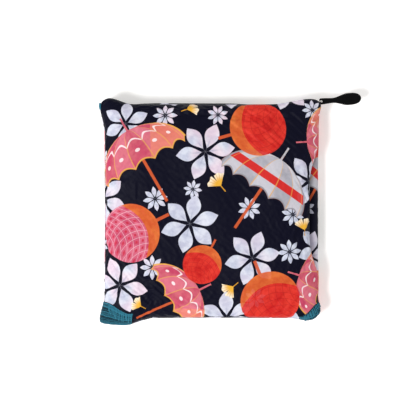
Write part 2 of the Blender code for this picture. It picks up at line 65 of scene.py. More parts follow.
def quads_of_grid(rows, columns, closed_rows=False, closed_columns=False):
    """Quads of a grid of rows x columns points; a closed direction joins its last line to its first."""
    row = np.arange(rows if closed_rows else rows - 1)[:, None]
    column = np.arange(columns if closed_columns else columns - 1)[None, :]
    after_row = (row + 1) % rows
    after_column = (column + 1) % columns
    corners = [row * columns + column, after_row * columns + column]
    corners += [after_row * columns + after_column, row * columns + after_column]
    return np.stack(np.broadcast_arrays(*corners), axis=-1).reshape(-1, 4)


def mesh_object(name, points, quads, material):
    """An object whose mesh has these points and quads, shaded smooth, riding on the pouch."""
    mesh = bpy.data.meshes.new(name)
    points = np.ascontiguousarray(points, dtype=np.float32).reshape(-1, 3)
    quads = np.ascontiguousarray(quads, dtype=np.int32)
    mesh.vertices.add(len(points))
    mesh.vertices.foreach_set("co", points.ravel())
    mesh.loops.add(quads.size)
    mesh.loops.foreach_set("vertex_index", quads.ravel())
    mesh.polygons.add(len(quads))
    mesh.polygons.foreach_set("loop_start", np.arange(0, quads.size, 4, dtype=np.int32))
    mesh.update(calc_edges=True)
    mesh.validate()
    mesh.shade_smooth()
    made = bpy.data.objects.new(name, mesh)
    bpy.context.scene.collection.objects.link(made)
    mesh.materials.append(material)
    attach(made, POUCH)
    return made


def ladder(start, step, count):
    """Quads that close a ring of an even number of points: rungs from one half of it to the other."""
    low = np.arange(count // 2 - 1)
    return start + step * np.stack([low, low + 1, count - 2 - low, count - 1 - low], axis=-1)


def tubes(paths, radius, sides, towards):
    """Round tubes with closed ends along many paths at once.

    At each point the direction of travel is crossed with the towards direction to get a sideways
    direction, and the ring lies in the plane of that and of its own cross product with the travel.
    """
    count, length = paths.shape[:2]
    travel = np.gradient(paths, axis=1)
    travel /= np.linalg.norm(travel, axis=-1, keepdims=True)
    sideways = np.cross(travel, np.broadcast_to(towards, travel.shape))
    sideways /= np.maximum(np.linalg.norm(sideways, axis=-1, keepdims=True), 1e-9)
    upwards = np.cross(sideways, travel)
    turn = np.linspace(0.0, 2.0 * math.pi, sides, endpoint=False)[:, None]
    radius = np.broadcast_to(radius, (count, length))[:, :, None, None]
    ring = np.cos(turn) * sideways[:, :, None] + np.sin(turn) * upwards[:, :, None]
    points = paths[:, :, None] + radius * ring
    ends = ladder(0, 1, sides), ladder((length - 1) * sides, 1, sides)[:, ::-1]
    quads = np.concatenate([quads_of_grid(length, sides, closed_columns=True), *ends])
    shift = (np.arange(count) * length * sides)[:, None, None]
    return points.reshape(-1, 3), (quads[None] + shift).reshape(-1, 4)


def slab(upper, lower):
    """Two facing grids joined all round: rings run over the upper one and back under the lower."""
    ring = np.concatenate([upper, lower[::-1]], axis=0)
    rows, columns = ring.shape[:2]
    ends = ladder(0, columns, rows), ladder(columns - 1, columns, rows)[:, ::-1]
    around = quads_of_grid(rows, columns, closed_rows=True)[:, ::-1]
    return ring.reshape(-1, 3), np.concatenate([around, *ends])


print("a grid of 3 x 4 points has", len(quads_of_grid(3, 4)), "quads")

# %% [markdown]
# The cloth has to lie where the solids are. So the two panels use the formulas of the solid model,
# and its sizes too, except that the ears are a little rounder here, as turned-out cloth is. A size
# with four values has one for each corner, near before far and left before right. Those of the ears
# are in millimetres, and their starts and runs are shares of half an edge.

# %% Sizes of the pouch
HALF_WIDTH = 70.4 * MM
HALF_DEPTH = 70.1 * MM
CROWN = 23.0 * MM
CLOTH = 0.5 * MM
EDGE_BOW = 0.8 * MM
EAR_X = ((4.2, 4.8), (4.0, 3.0))
EAR_Y = ((4.4, 3.0), (5.2, 4.6))
EAR_START_X = ((0.74, 0.74), (0.68, 0.74))
EAR_START_Y = ((0.50, 0.66), (0.68, 0.52))
EAR_RUN_X = ((0.26, 0.26), (0.26, 0.26))
EAR_RUN_Y = ((0.26, 0.26), (0.26, 0.45))
TIP_ROUND = ((2.0, 7.5), (3.8, 3.6))
TIP_POWER = 10
RIGHT_DENT = 5.7 * MM
RIGHT_SWELL = 6.8 * MM
RIGHT_SPAN = 0.47
SEAM = 11.0 * MM
SEAM_LIFT = 3.5 * MM
SEAM_GAP = 0.15 * MM
SEAM_DRAW = 1.0 * MM
MOUTH = 8.4 * MM
MOUTH_START = 60.3 * MM
MOUTH_RUN = 5.5 * MM
MOUTH_SWELL = 1.7 * MM
MOUTH_MIDDLE = -0.17
MOUTH_SPAN = 0.5
WALL_SWELL = 1.0 * MM
SHOULDER_POWER = 6
SHOULDER_ROUND = 0.45
REST_SHARE = 1.07
SWELL_HEIGHT = 0.5 * MM
SWELL_LENGTHS = (52.0 * MM, 64.0 * MM)
print("the pouch between its edges, mm:", [round(2.0 * half / MM, 1) for half in (HALF_WIDTH, HALF_DEPTH)])

# %% [markdown]
# Seen from above, the pouch is a square whose edges bow in a little between corners that stand out as
# ears. On the right the front panel is drawn in. An outline alone would not say where the cloth runs
# between its edges, so the plan is a function of two shares from -1 to 1, one for each direction.

# %% The floor plan


def ease(value):
    """0 up to the value 0, 1 from the value 1, and a smooth S between them."""
    share = np.clip(value, 0.0, 1.0)
    return share * share * (3.0 - 2.0 * share)


def at_corner(values, u, v):
    """Each corner's own value, near before far and left before right, by the signs of u and v."""
    near, far = values
    return np.where(v < 0.0, np.where(u < 0.0, *near), np.where(u < 0.0, *far))


def stand(share, reach, start, run):
    """How far an edge stands out: a squared bow, and an ear that rises in an S over its run."""
    return EDGE_BOW * share ** 2 + reach * MM * ease((share - start) / run)


def right_bump(v):
    """1 along the middle of the right edge, falling off as a sixth power towards its corners."""
    return np.exp(-(v / RIGHT_SPAN) ** 6)


def plan(u, v, grow):
    """Floor plan of (u, v): each share times the half side that holds at the other share."""
    reach = grow - at_corner(TIP_ROUND, u, v) * MM * np.abs(u * v) ** TIP_POWER
    ear_x = [at_corner(values, u, v) for values in (EAR_X, EAR_START_X, EAR_RUN_X)]
    ear_y = [at_corner(values, u, v) for values in (EAR_Y, EAR_START_Y, EAR_RUN_Y)]
    half_x = HALF_WIDTH + stand(np.abs(v), *ear_x) - np.where(u > 0.0, RIGHT_DENT * right_bump(v), 0.0)
    half_y = HALF_DEPTH + stand(np.abs(u), *ear_y)
    return u * (half_x + reach), v * (half_y + reach)


corner_x, corner_y = plan(np.array([-1.0, 1.0]), np.array([-1.0, 1.0]), 0.0)
print("near left ear, mm:", round(corner_x[0] / MM, 1), round(corner_y[0] / MM, 1))
print("far right ear, mm:", round(corner_x[1] / MM, 1), round(corner_y[1] / MM, 1))

# %% [markdown]
# From the side, the front panel rises from the hem in a round shoulder and lies nearly flat on the
# tote. The back panel is its counterpart below, but it rests on the table and its walls swell
# outwards. One shoulder formula does for both, as a share of the way from the hem to the flat.

# %% The form of the two panels


def hem_height(u, v, y, side):
    """The seam's height, lifted on the right, and parted from side to side along the mouth."""
    lift = SEAM_LIFT * right_bump(v) * ease(2.0 * u - 1.0)
    parted = SEAM_GAP + (MOUTH / 2.0 - SEAM_GAP) * ease((y - MOUTH_START) / MOUTH_RUN)
    return SEAM + lift + side * parted


def shoulder(share):
    """One minus a power of the share, to a small power: flat, then a round shoulder."""
    return np.clip(1.0 - np.abs(share) ** SHOULDER_POWER, 0.0, 1.0) ** SHOULDER_ROUND


def on_the_base(u, v):
    """1 where the back panel lies on the table: the two shoulders, a little raised and cut off at 1."""
    return np.minimum(1.0, REST_SHARE * shoulder(u) * shoulder(v))


def swells(x, y):
    """Two crossing waves, the shallow swells that the folded layers raise."""
    first = np.sin(2.0 * math.pi * (1.2 * x + 0.5 * y) / SWELL_LENGTHS[0] + 1.0)
    second = np.sin(2.0 * math.pi * (0.5 * x - 1.3 * y) / SWELL_LENGTHS[1] + 2.1)
    return SWELL_HEIGHT * (0.6 * first + 0.4 * second)


def seam_groove(v, full):
    """How far the seam's thread draws the hem in: a sixth power up the wall, and none at the mouth."""
    shut = 1.0 - ease((v * HALF_DEPTH - MOUTH_START) / MOUTH_RUN)
    return SEAM_DRAW * (1.0 - full) ** 6 * shut


def front_form(u, v, grow=0.0):
    """The front panel: the hem's height at the edge, rising by the two shoulders to the crown."""
    full = shoulder(u) * shoulder(v)
    x, y = plan(u, v, grow - seam_groove(v, full))
    hem = hem_height(u, v, y, 1.0)
    z = hem + (CROWN + grow - hem) * full + swells(x, y) * full ** 2
    return np.stack([x, y, z], axis=-1)


def back_form(u, v):
    """The back panel: flat on the table, its walls curling up and out to the hem.

    A wall swells by a parabola between base and hem, most on the right and along the mouth.
    """
    full = on_the_base(u, v)
    x, y = plan(u, v, -seam_groove(v, full))
    swell = 4.0 * (1.0 - full) * full
    sideways = np.where(u > 0.0, RIGHT_SWELL * right_bump(v), 0.0) + WALL_SWELL
    along_mouth = MOUTH_SWELL * np.exp(-((u - MOUTH_MIDDLE) / MOUTH_SPAN) ** 6)
    endways = np.where(v > 0.0, along_mouth, 0.0) + WALL_SWELL
    z = hem_height(u, v, y, -1.0) * (1.0 - full)
    x = x + np.sign(u) * sideways * swell * np.abs(u) ** 6
    y = y + np.sign(v) * endways * swell * np.abs(v) ** 6
    return np.stack([x, y, z], axis=-1)


middle = front_form(np.array(0.0), np.array(0.0))
print("the front panel's middle, mm:", (middle / MM).round(1).tolist())

# %% [markdown]
# A grid with even steps would leave too few points for the tight shoulder at the hem, or far too many
# for the flat middle. So the steps crowd together towards the hem.

# %% A grid that is finer at the hem


def crowded_steps(cells):
    """Steps from -1 to 1: even ones blended with a sine's, which crowd towards the ends."""
    even = np.linspace(-1.0, 1.0, cells + 1)
    return 0.55 * even + 0.45 * np.sin(even * math.pi / 2.0)


def panel_grid(cells):
    """The two shares at every point of a square grid, with crowded steps both ways."""
    return np.meshgrid(crowded_steps(cells), crowded_steps(cells), indexing="xy")


print("eight crowded steps:", np.diff(crowded_steps(8)).round(2).tolist())

# %% [markdown]
# A seam's thread draws the cloth up between its stitches into small puckers. They are heights along
# the surface's own normal: a sum of waves along each hem, whose phases come from one seeded
# generator, so they are the same each time.

# %% Puckers as heights along the normal
dice = np.random.default_rng(7)


def wandering(along, length, count=6):
    """A wavy line from a sum of sines, with wavelengths about this length and random phases."""
    total = np.zeros_like(along)
    for step in range(count):
        wave = length * (0.6 + 0.25 * step)
        total = total + np.sin(2.0 * math.pi * along / wave + dice.uniform(0.0, 6.28)) / (1 + step)
    return total / 1.9


def edge_puckers(u, v, x, y, depth, reach):
    """Puckers: a wandering wave along each hem, fading over the reach towards the middle.

    Each hem's waves have a length and a slant of their own, and long waves make them come and go.
    """
    near_x = np.exp(-((1.0 - np.abs(u)) / reach) ** 1.5)
    near_y = np.exp(-((1.0 - np.abs(v)) / reach) ** 1.5)
    calm_hem = ease((1.0 - np.abs(u)) * 40.0) * ease((1.0 - np.abs(v)) * 40.0)
    left = wandering(y + 0.3 * x, 13.0 * MM) * (u < 0.0)
    right = wandering(y - 0.4 * x, 11.0 * MM) * (u >= 0.0)
    bottom = wandering(x + 0.5 * y, 14.0 * MM) * (v < 0.0)
    top = wandering(x - 0.3 * y, 12.0 * MM) * (v >= 0.0)
    swell_x = 0.5 + 0.5 * wandering(y, 60.0 * MM, 3)
    swell_y = 0.5 + 0.5 * wandering(x, 60.0 * MM, 3)
    return depth * calm_hem * ((left + right) * near_x * swell_x + (bottom + top) * near_y * swell_y)


def lifted(points, height):
    """Points moved by a height along the grid's normal, the cross product of its two directions."""
    first, second = np.gradient(points, axis=0), np.gradient(points, axis=1)
    normal = np.cross(second, first)
    normal /= np.maximum(np.linalg.norm(normal, axis=-1, keepdims=True), 1e-12)
    return points + normal * height[..., None]


flat_grid = np.stack([*panel_grid(4), np.zeros((5, 5))], axis=-1)
print("the middle of a flat grid, lifted by 1:", lifted(flat_grid, np.ones((5, 5)))[2, 2].tolist())

# %% [markdown]
# A print has to bend with its cloth, so it is drawn in cloth lengths: how far a point lies from the
# panel's middle line, measured along the cloth. Those lengths are the running sums of the steps
# between neighbouring points, and they are kept in the mesh as its UV map, in metres.

# %% Lengths along the cloth


def cloth_lengths(points):
    """Running lengths across and along the cloth, each counted from the grid's middle line."""
    def running(axis):
        """The steps between neighbours, summed up, less what the sum is on the middle line."""
        step = np.linalg.norm(np.diff(points, axis=axis), axis=-1)
        pad = [(1, 0), (0, 0)] if axis == 0 else [(0, 0), (1, 0)]
        total = np.pad(np.cumsum(step, axis=axis), pad)
        return total - np.take(total, [total.shape[axis] // 2], axis=axis)
    return running(1), running(0)


def store(mesh, name, values):
    """Keep one number for each point as a named attribute."""
    layer = mesh.attributes.new(name, "FLOAT", "POINT")
    layer.data.foreach_set("value", np.ascontiguousarray(values, dtype=np.float32).ravel())


def store_uv(mesh, across, along):
    """Keep the cloth lengths as a UV map, one pair for each corner of each face."""
    corner = np.zeros(len(mesh.loops), dtype=np.int32)
    mesh.loops.foreach_get("vertex_index", corner)
    pairs = np.stack([across.ravel()[corner], along.ravel()[corner]], axis=-1)
    layer = mesh.uv_layers.new(name="Cloth")
    layer.data.foreach_set("uv", pairs.astype(np.float32).ravel())


for side, form in (("front", front_form), ("back", back_form)):
    across, along = cloth_lengths(form(*panel_grid(100)))
    print(side, "panel, greatest lengths along the cloth, mm:",
          round(float(np.ptp(across)) / MM), "x", round(float(np.ptp(along)) / MM))

# %% [markdown]
# The look of the cloth is worked out by shader nodes. Wiring Math nodes one by one hides the formula
# that they stand for. So a value that comes out of a socket is held as a wire, and sums and products
# of wires add the nodes. The formulas below then read as they would on paper.

# %% Wires that turn arithmetic into shader nodes


class Wire:
    """What comes out of a shader socket; arithmetic with it adds Math nodes to the socket's tree."""

    def __init__(self, socket):
        self.socket = socket

    def __add__(self, other):
        return maths("ADD", self, other)

    def __sub__(self, other):
        return maths("SUBTRACT", self, other)

    def __rsub__(self, other):
        return maths("SUBTRACT", other, self)

    def __mul__(self, other):
        return maths("MULTIPLY", self, other)

    def __truediv__(self, other):
        return maths("DIVIDE", self, other)

    def __rtruediv__(self, other):
        return maths("DIVIDE", other, self)

    def __pow__(self, other):
        return maths("POWER", self, other)

    def __abs__(self):
        return maths("ABSOLUTE", self)


def feed(socket, value):
    """Link a wire to a socket, or set a constant on it."""
    if isinstance(value, Wire):
        socket.id_data.links.new(value.socket, socket)
    else:
        socket.default_value = value


def new_node(kind, *values):
    """A shader node of this kind, in the tree of the first wire among the values."""
    tree = next(value.socket.id_data for value in values if isinstance(value, Wire))
    return tree.nodes.new("ShaderNode" + kind)


def maths(operation, *values):
    """A Math node on these wires or numbers."""
    node = new_node("Math", *values)
    node.operation = operation
    for socket, value in zip(node.inputs, values):
        feed(socket, value)
    return Wire(node.outputs[0])


known = [name.strip("_") for name, member in vars(Wire).items() if callable(member) and name != "__init__"]
print("arithmetic that a wire knows:", known)

# %% [markdown]
# A few formulas are needed again and again: a soft step between two values, a distance, a wave, cloudy
# noise, a bump, and one colour laid over another. Each is a function that adds its nodes and hands
# back what comes out of them. The colours themselves are given as a screen shows them.

# %% Formulas that come back


def between(value, low, high):
    """0 at the low value, 1 at the high one, a smooth S between them."""
    node = new_node("MapRange", value)
    node.interpolation_type = "SMOOTHSTEP"
    for socket, number in zip(node.inputs, (value, low, high, 0.0, 1.0)):
        feed(socket, number)
    return Wire(node.outputs[0])


def distance(x, y):
    """The square root of the sum of two squares."""
    return maths("SQRT", x * x + y * y)


def wave(value, count):
    """The size, without its sign, of the sine of so many times the value."""
    return abs(maths("SINE", value * count))


def clipped(value, low, high):
    """The value, or the nearer of two limits."""
    return maths("MINIMUM", maths("MAXIMUM", value, low), high)


def split(vector):
    """The three parts of a vector."""
    node = new_node("SeparateXYZ", vector)
    feed(node.inputs[0], vector)
    return [Wire(socket) for socket in node.outputs]


def noise(vector, scale, detail=3.0, roughness=0.5):
    """Soft cloudy noise at this many swells to the metre."""
    node = new_node("TexNoise", vector)
    feed(node.inputs["Vector"], vector)
    node.inputs["Scale"].default_value = scale
    node.inputs["Detail"].default_value = detail
    node.inputs["Roughness"].default_value = roughness
    return Wire(node.outputs["Fac"])


def bump(height, depth, strength):
    """The surface's normal, tilted by a height that is so deep."""
    node = new_node("Bump", height)
    feed(node.inputs["Height"], height)
    feed(node.inputs["Strength"], strength)
    node.inputs["Distance"].default_value = depth
    return Wire(node.outputs[0])


def colour_mix(share, first, second, way="MIX"):
    """The first colour changed towards the second by the share."""
    node = new_node("Mix", share, first, second)
    node.data_type = "RGBA"
    node.blend_type = way
    for socket, value in zip((node.inputs[0], node.inputs[6], node.inputs[7]), (share, first, second)):
        feed(socket, value)
    return Wire(node.outputs[2])


def paint(red, green, blue):
    """A colour from screen values of 0 to 255, made linear by the display curve."""
    share = np.array([red, green, blue]) / 255.0
    linear = np.where(share > 0.04045, ((share + 0.055) / 1.055) ** 2.4, share / 12.92)
    return (*linear.tolist(), 1.0)


print("plain white paint:", paint(255, 255, 255))

# %% [markdown]
# The print is a generic one of loose flowers, parasols, thread balls and leaves. On real nylon it is
# pressed into the cloth from a printed paper with heat, so it has crisp edges and no thickness. Each
# motif is a formula in its own small frame, in which it is one unit big, and it is a shader group of
# its own. A point's place in the nearest motif's frame is kept in the mesh, so the edges stay sharp
# between the points. The third number falls below zero between motifs, which keeps one motif's frame
# from running into the next. The tone picks between a motif's two colourings.

# %% Shader groups for motifs


def open_group(name, inputs, outputs):
    """A shader group with these named sockets; returns the wires in and the sockets out."""
    tree = bpy.data.node_groups.new(name, "ShaderNodeTree")
    for title, kind, value in inputs:
        socket = tree.interface.new_socket(title, in_out="INPUT", socket_type="NodeSocket" + kind)
        if value is not None:
            socket.default_value = value
    for title, kind in outputs:
        tree.interface.new_socket(title, in_out="OUTPUT", socket_type="NodeSocket" + kind)
    given = {socket.name: Wire(socket) for socket in tree.nodes.new("NodeGroupInput").outputs}
    return given, tree.nodes.new("NodeGroupOutput").inputs


MOTIF_IN = (("Place", "Vector", None), ("Tone", "Float", 0.0))
MOTIF_OUT = (("Colour", "Color"), ("Mask", "Float"))


def finish_motif(result, near, colour, mask):
    """Hand out the motif's colour, and its mask where its own frame holds."""
    feed(result["Colour"], colour)
    feed(result["Mask"], mask * maths("GREATER_THAN", near, 0.0))
    return result["Mask"].id_data


print("a motif takes", [title for title, *_ in MOTIF_IN], "and gives", [title for title, _ in MOTIF_OUT])

# %% [markdown]
# Both kinds of flower have pointed petals round an empty middle. One petal's formula is enough when
# the angle round the middle is folded into one sector. The number of petals is then a value.

# %% The flowers' formula


def flower_group(petals):
    """Petals: pointed ovals whose half width is a sine along them, repeated round the centre."""
    given, result = open_group(f"Flower of {petals}", MOTIF_IN, MOTIF_OUT)
    x, y, near = split(given["Place"])
    sector_width = 2.0 * math.pi / petals
    sector = maths("FRACT", maths("ARCTAN2", y, x) / sector_width + 8.5) - 0.5
    reach = distance(x, y)
    along = reach * maths("COSINE", sector * sector_width)
    across = abs(reach * maths("SINE", sector * sector_width))
    share = clipped((along - 0.12) / 0.88, 0.0, 1.0)
    half_width = maths("SINE", share ** 1.15 * math.pi) * (1.45 / petals)
    petal = between(half_width - across, -0.006, 0.006) * between(along, 1.0, 0.99)
    cloud = between(noise(given["Place"], 2.6, 4.0, 0.6), 0.35, 0.65)
    cool = colour_mix(cloud, paint(216, 220, 232), paint(188, 192, 212))
    warm = colour_mix(cloud, paint(236, 218, 228), paint(222, 200, 216))
    blush = given["Tone"] * between(noise(given["Place"], 0.9, 1.0), 0.35, 0.6)
    vein = (1.0 - between(across, 0.0, 0.05)) * between(share, 0.55, 0.1)
    colour = colour_mix(vein * 0.5, colour_mix(blush, cool, warm), paint(150, 156, 180))
    return finish_motif(result, near, colour, petal)


LARGE_FLOWER = flower_group(6)
SMALL_FLOWER = flower_group(8)
print("nodes in a flower:", len(LARGE_FLOWER.nodes))

# %% [markdown]
# A parasol seen from the side is a dome of panels. Its ribs run from the tip to the hem along
# ellipses, so a point's side divided by the ellipse's half width is the same all along a rib, and the
# arcsine of it gives panels that narrow towards the edge, as on the round real one.

# %% The parasols' formula
PANELS = 7.0
DOME_HEIGHT = 0.80


def parasol_group():
    """A dome cut into panels by ellipses through its tip, with gold ribs, a scalloped hem, a handle."""
    given, result = open_group("Parasol", MOTIF_IN, MOTIF_OUT)
    x, y, near = split(given["Place"])
    tone = given["Tone"]
    height = y / DOME_HEIGHT
    side = x / maths("SQRT", maths("MAXIMUM", 1.0 - height * height, 0.0004))
    inside_dome = 1.0 - abs(side)
    panel = (maths("ARCSINE", clipped(side, -1.0, 1.0)) / math.pi + 0.5) * PANELS
    part = maths("FRACT", panel)
    from_rib = (0.5 - abs(part - 0.5)) * 0.30
    arch = part * (1.0 - part) * 0.42
    above_hem = y - arch
    dome = between(inside_dome, 0.0, 0.02) * between(above_hem, -0.008, 0.008)
    handle = between(abs(x), 0.034, 0.024) * between(y, -0.86, -0.84) * between(y, 0.16, 0.14)
    tip = between(abs(x), 0.026, 0.018) * between(y, 0.76, 0.78) * between(y, 0.92, 0.90)

    even = maths("LESS_THAN", maths("FRACT", panel * 0.5), 0.5)
    cloud = between(noise(given["Place"], 3.0, 4.0, 0.6), 0.3, 0.7)
    pink = colour_mix(even, paint(194, 64, 98), paint(212, 104, 128))
    pink = colour_mix(cloud * 0.5, pink, paint(222, 128, 130))
    pink = colour_mix(between(x + y * -0.5, 0.12, 0.14) * 0.6, pink, paint(234, 138, 104))
    grey = colour_mix(even, paint(194, 194, 202), paint(162, 162, 172))
    grey = colour_mix(cloud * 0.45, grey, paint(214, 204, 212))
    grey = colour_mix(between(abs(height - 0.47), 0.105, 0.095), grey, paint(208, 46, 44))
    paper = colour_mix(tone, pink, grey)

    lace = between(abs(height - (arch * 1.4 + 0.60)), 0.028, 0.018)
    dots = between(distance((part - 0.5) * 0.34, height - 0.42), 0.050, 0.040)
    white = maths("MAXIMUM", lace, dots) * (1.0 - tone)
    paper = colour_mix(white * 0.8, paper, paint(252, 240, 240))
    gold = paint(226, 168, 78)
    paper = colour_mix(between(from_rib, 0.012, 0.004) * 0.7, paper, gold)
    rim = maths("MAXIMUM", between(above_hem, 0.035, 0.025), between(inside_dome, 0.06, 0.04))
    paper = colour_mix(rim, paper, colour_mix(tone, gold, paint(150, 150, 158)))
    colour = colour_mix(dome, paint(200, 88, 48), paper)
    return finish_motif(result, near, colour, maths("MAXIMUM", dome, maths("MAXIMUM", handle, tip)))


PARASOL = parasol_group()
print("nodes in a parasol:", len(PARASOL.nodes))

# %% [markdown]
# A thread ball is wound in two directions round a core, so its thread shows as two families of arcs.
# A parabola bends each family, which is close enough to a great circle at this size.

# %% The thread balls' formula
WINDINGS = 13.0


def ball_group():
    """A disc of thread, ruled by two families of parabolas, with an orange cap and a stick."""
    given, result = open_group("Thread ball", MOTIF_IN, MOTIF_OUT)
    x, y, near = split(given["Place"])
    tone = given["Tone"]
    disc = between(distance(x, y), 1.0, 0.985)
    stick = between(abs(y), 0.060, 0.048) * between(x, 0.6, 0.62) * between(x, 1.46, 1.44)
    cap = between(x + y * y * 0.45, 0.55, 0.56)
    rows = wave(x + y * y * 0.55, WINDINGS)
    files = wave(y + x * x * 0.55, WINDINGS)
    cloud = between(noise(given["Place"], 2.2, 4.0, 0.6), 0.35, 0.65)
    red = colour_mix(cloud, paint(198, 30, 28), paint(222, 56, 44))
    pink = colour_mix(cloud, paint(196, 72, 104), paint(214, 106, 130))
    lines = maths("MAXIMUM", between(rows, 0.16, 0.06), between(files, 0.16, 0.06))
    line_colour = colour_mix(tone, paint(158, 20, 24), paint(240, 210, 218))
    thread = colour_mix(lines * 0.55, colour_mix(tone, red, pink), line_colour)
    knot = maths("MINIMUM", between(rows, 0.80, 0.92), between(files, 0.80, 0.92))
    thread = colour_mix(knot * (tone * 0.9), thread, paint(196, 44, 66))
    orange = colour_mix(cloud, paint(204, 86, 42), paint(220, 112, 54))
    colour = colour_mix(disc, paint(202, 86, 48), colour_mix(cap, thread, orange))
    return finish_motif(result, near, colour, maths("MAXIMUM", disc, stick))


BALL = ball_group()
print("nodes in a thread ball:", len(BALL.nodes))

# %% [markdown]
# The leaf is a fan with a cleft, so it is simplest in polar form: its rim is a reach that depends on
# the angle from the stalk.

# %% The leaves' formula


def leaf_group():
    """A fan leaf: a sector with a wavy rim and a cleft, veined from its stalk."""
    given, result = open_group("Leaf", MOTIF_IN, MOTIF_OUT)
    x, y, near = split(given["Place"])
    reach = distance(x, y)
    angle = maths("ARCTAN2", y, x)
    cleft = between(abs(angle), 0.10, 0.0) * 0.45
    rim = maths("SINE", angle * 11.0) * 0.04 + 0.95 - cleft
    blade = between(rim - reach, 0.0, 0.02) * between((0.92 - abs(angle)) * reach, 0.0, 0.02)
    stalk = between(abs(y), 0.045, 0.03) * between(x, -0.5, -0.48) * between(x, 0.2, 0.1)
    body = colour_mix(between(reach, 0.35, 0.95), paint(236, 178, 60), paint(246, 232, 204))
    body = colour_mix(between(wave(angle, 12.0), 0.35, 0.1) * 0.8, body, paint(206, 138, 34))
    colour = colour_mix(blade, paint(206, 146, 44), body)
    return finish_motif(result, near, colour, maths("MAXIMUM", blade, stalk))


LEAF = leaf_group()
print("nodes in a leaf:", len(LEAF.nodes))

# %% [markdown]
# The layout is listed one motif at a time: large pieces first, kept clear of others of their kind, and
# small ones in the spaces. A row gives a motif's middle in millimetres along the cloth, its size, its turn
# in degrees, and its tone. A printing screen has one length, after which the design starts again, so
# each distance is taken to the nearest of a motif's repeats.

# %% The layout of the print
LAYOUT = {
    "large flowers": (
        (-4, 38, 19, 8, 0.9), (-56, 57, 16, 25, 0.2), (-72, 8, 18, 40, 0.6), (-14, -8, 19, 17, 0.1),
        (64, 20, 18, 5, 0.3), (-60, -48, 19, 50, 0.9), (10, -70, 19, 33, 0.2), (26, -30, 18, 12, 0.4),
        (72, -24, 17, 20, 0.0), (13, 84, 17, 30, 0.5), (50, 82, 16, 11, 0.7), (-30, -86, 17, 0, 0.3),
        (52, -84, 17, 20, 0.1), (-28, 86, 17, 44, 0.4), (-86, -88, 16, 0, 0.0), (-92, 86, 16, 9, 0.2),
        (118, 30, 17, 15, 0.2), (114, -74, 17, 40, 0.7)),
    "small flowers": (
        (-36, 8, 8, 10, 0.2), (-30, 62, 8, 0, 0.8), (24, 2, 7.5, 20, 0.1), (-38, -36, 8, 45, 0.5),
        (52, -2, 7.5, 30, 0.0), (-74, 34, 7, 12, 0.2), (66, 67, 7, 5, 0.3), (-14, -62, 7.5, 33, 0.0),
        (50, -26, 8, 50, 0.0), (28, -56, 7, 17, 0.4), (-76, -22, 7, 27, 0.1), (4, 62, 7, 22, 0.9),
        (68, -68, 7.5, 9, 0.1), (-76, -72, 7.5, 41, 0.6), (-54, 84, 7, 3, 0.1), (-12, 14, 6, 37, 0.2),
        (110, 62, 7.5, 25, 0.5), (124, -40, 7, 5, 0.2), (106, 4, 7, 33, 0.8)),
    "parasols": (
        (-42, 30, 32, 30, 0.0), (30, 12, 32, -34, 1.0), (-28, -60, 28, -64, 0.0), (76, -48, 26, 72, 0.0),
        (-6, 98, 26, 168, 0.0), (82, 48, 25, 96, 0.0), (-96, -40, 24, 84, 0.0), (-98, 10, 20, 100, 1.0)),
    "thread balls": (
        (30, 54, 18.5, 196, 0.0), (-52, -14, 19.0, 26, 1.0), (38, -58, 19.5, 112, 0.0),
        (-92, 34, 15, 250, 0.0), (-6, -34, 12.5, 62, 0.0), (116, -12, 14, 300, 1.0)),
    "leaves": (
        (6, 16, 9, 130, 0.0), (-16, 66, 8, 20, 0.0), (-68, -76, 9, 80, 0.0), (14, -48, 8, 220, 0.0),
        (60, -12, 8, 100, 0.0), (-80, -12, 8, 0, 0.0), (26, 88, 8, 60, 0.0), (-46, -62, 7, 150, 0.0),
        (104, -36, 8, 40, 0.0), (124, 56, 8, 250, 0.0)),
}
REACH = {"large flowers": 1.1, "small flowers": 1.1, "parasols": 1.1, "thread balls": 1.5, "leaves": 1.1}
REPEAT = 235.0 * MM


def nearest_repeat(away):
    """A distance less the whole repeats in it, from minus half a repeat to half of one."""
    return away - REPEAT * np.round(away / REPEAT)


def place_motifs(mesh, across, along, start=0.0, flip=1.0):
    """Each kind's nearest motif: the place in its frame, turned and scaled, and how far inside it is.

    Nearness is one kind's reach less the distance in units of the motif's size, so the largest
    value marks the motif whose frame holds.
    """
    for kind, rows in LAYOUT.items():
        middle_x, middle_y, size, turn, tone = np.array(rows, dtype=float).T[:, :, None]
        turn = np.radians(turn)
        away_x = nearest_repeat(flip * across.ravel() + start - middle_x * MM)
        away_y = nearest_repeat(along.ravel() - middle_y * MM)
        place_x = (away_x * np.cos(turn) + away_y * np.sin(turn)) / (size * MM)
        place_y = (away_y * np.cos(turn) - away_x * np.sin(turn)) / (size * MM)
        near = REACH[kind] - np.hypot(place_x, place_y)
        best = near.argmax(axis=0)
        pick = np.arange(near.shape[1])
        place = np.stack([place_x[best, pick], place_y[best, pick], near[best, pick]], axis=-1)
        layer = mesh.attributes.new(kind, "FLOAT_VECTOR", "POINT")
        layer.data.foreach_set("vector", place.astype(np.float32).ravel())
        store(mesh, kind + " tone", tone[best])


print("motifs in one repeat:", {kind: len(rows) for kind, rows in LAYOUT.items()})

# %% [markdown]
# Nylon taffeta is woven from fine bright filaments. Up close its threads show as a small grid, drawn as a
# bump and as painted shade where the threads dip, and the dye sits a little unevenly. These two effects are
# groups of their own, so that the print, the tapes and the folded layers share them.

# %% Cloth effects


def weave_group():
    """Threads over and under: two crossing sines in cloth lengths, as a height and as painted shade."""
    given, result = open_group(
        "Weave and painted shade", (("Place", "Vector", None), ("Pitch", "Float", 0.0004), ("Depth", "Float", 0.4)),
        (("Shade", "Float"), ("Normal", "Vector")))
    x, y, _ = split(given["Place"])
    turns = math.pi / given["Pitch"]
    height = (wave(x, turns) + wave(y, turns)) * 0.5
    # The shade is painted shade: multiplied into a colour, it darkens it where the threads dip.
    feed(result["Shade"], height)
    feed(result["Normal"], bump(height, 0.1 * MM, given["Depth"]))
    return result["Shade"].id_data


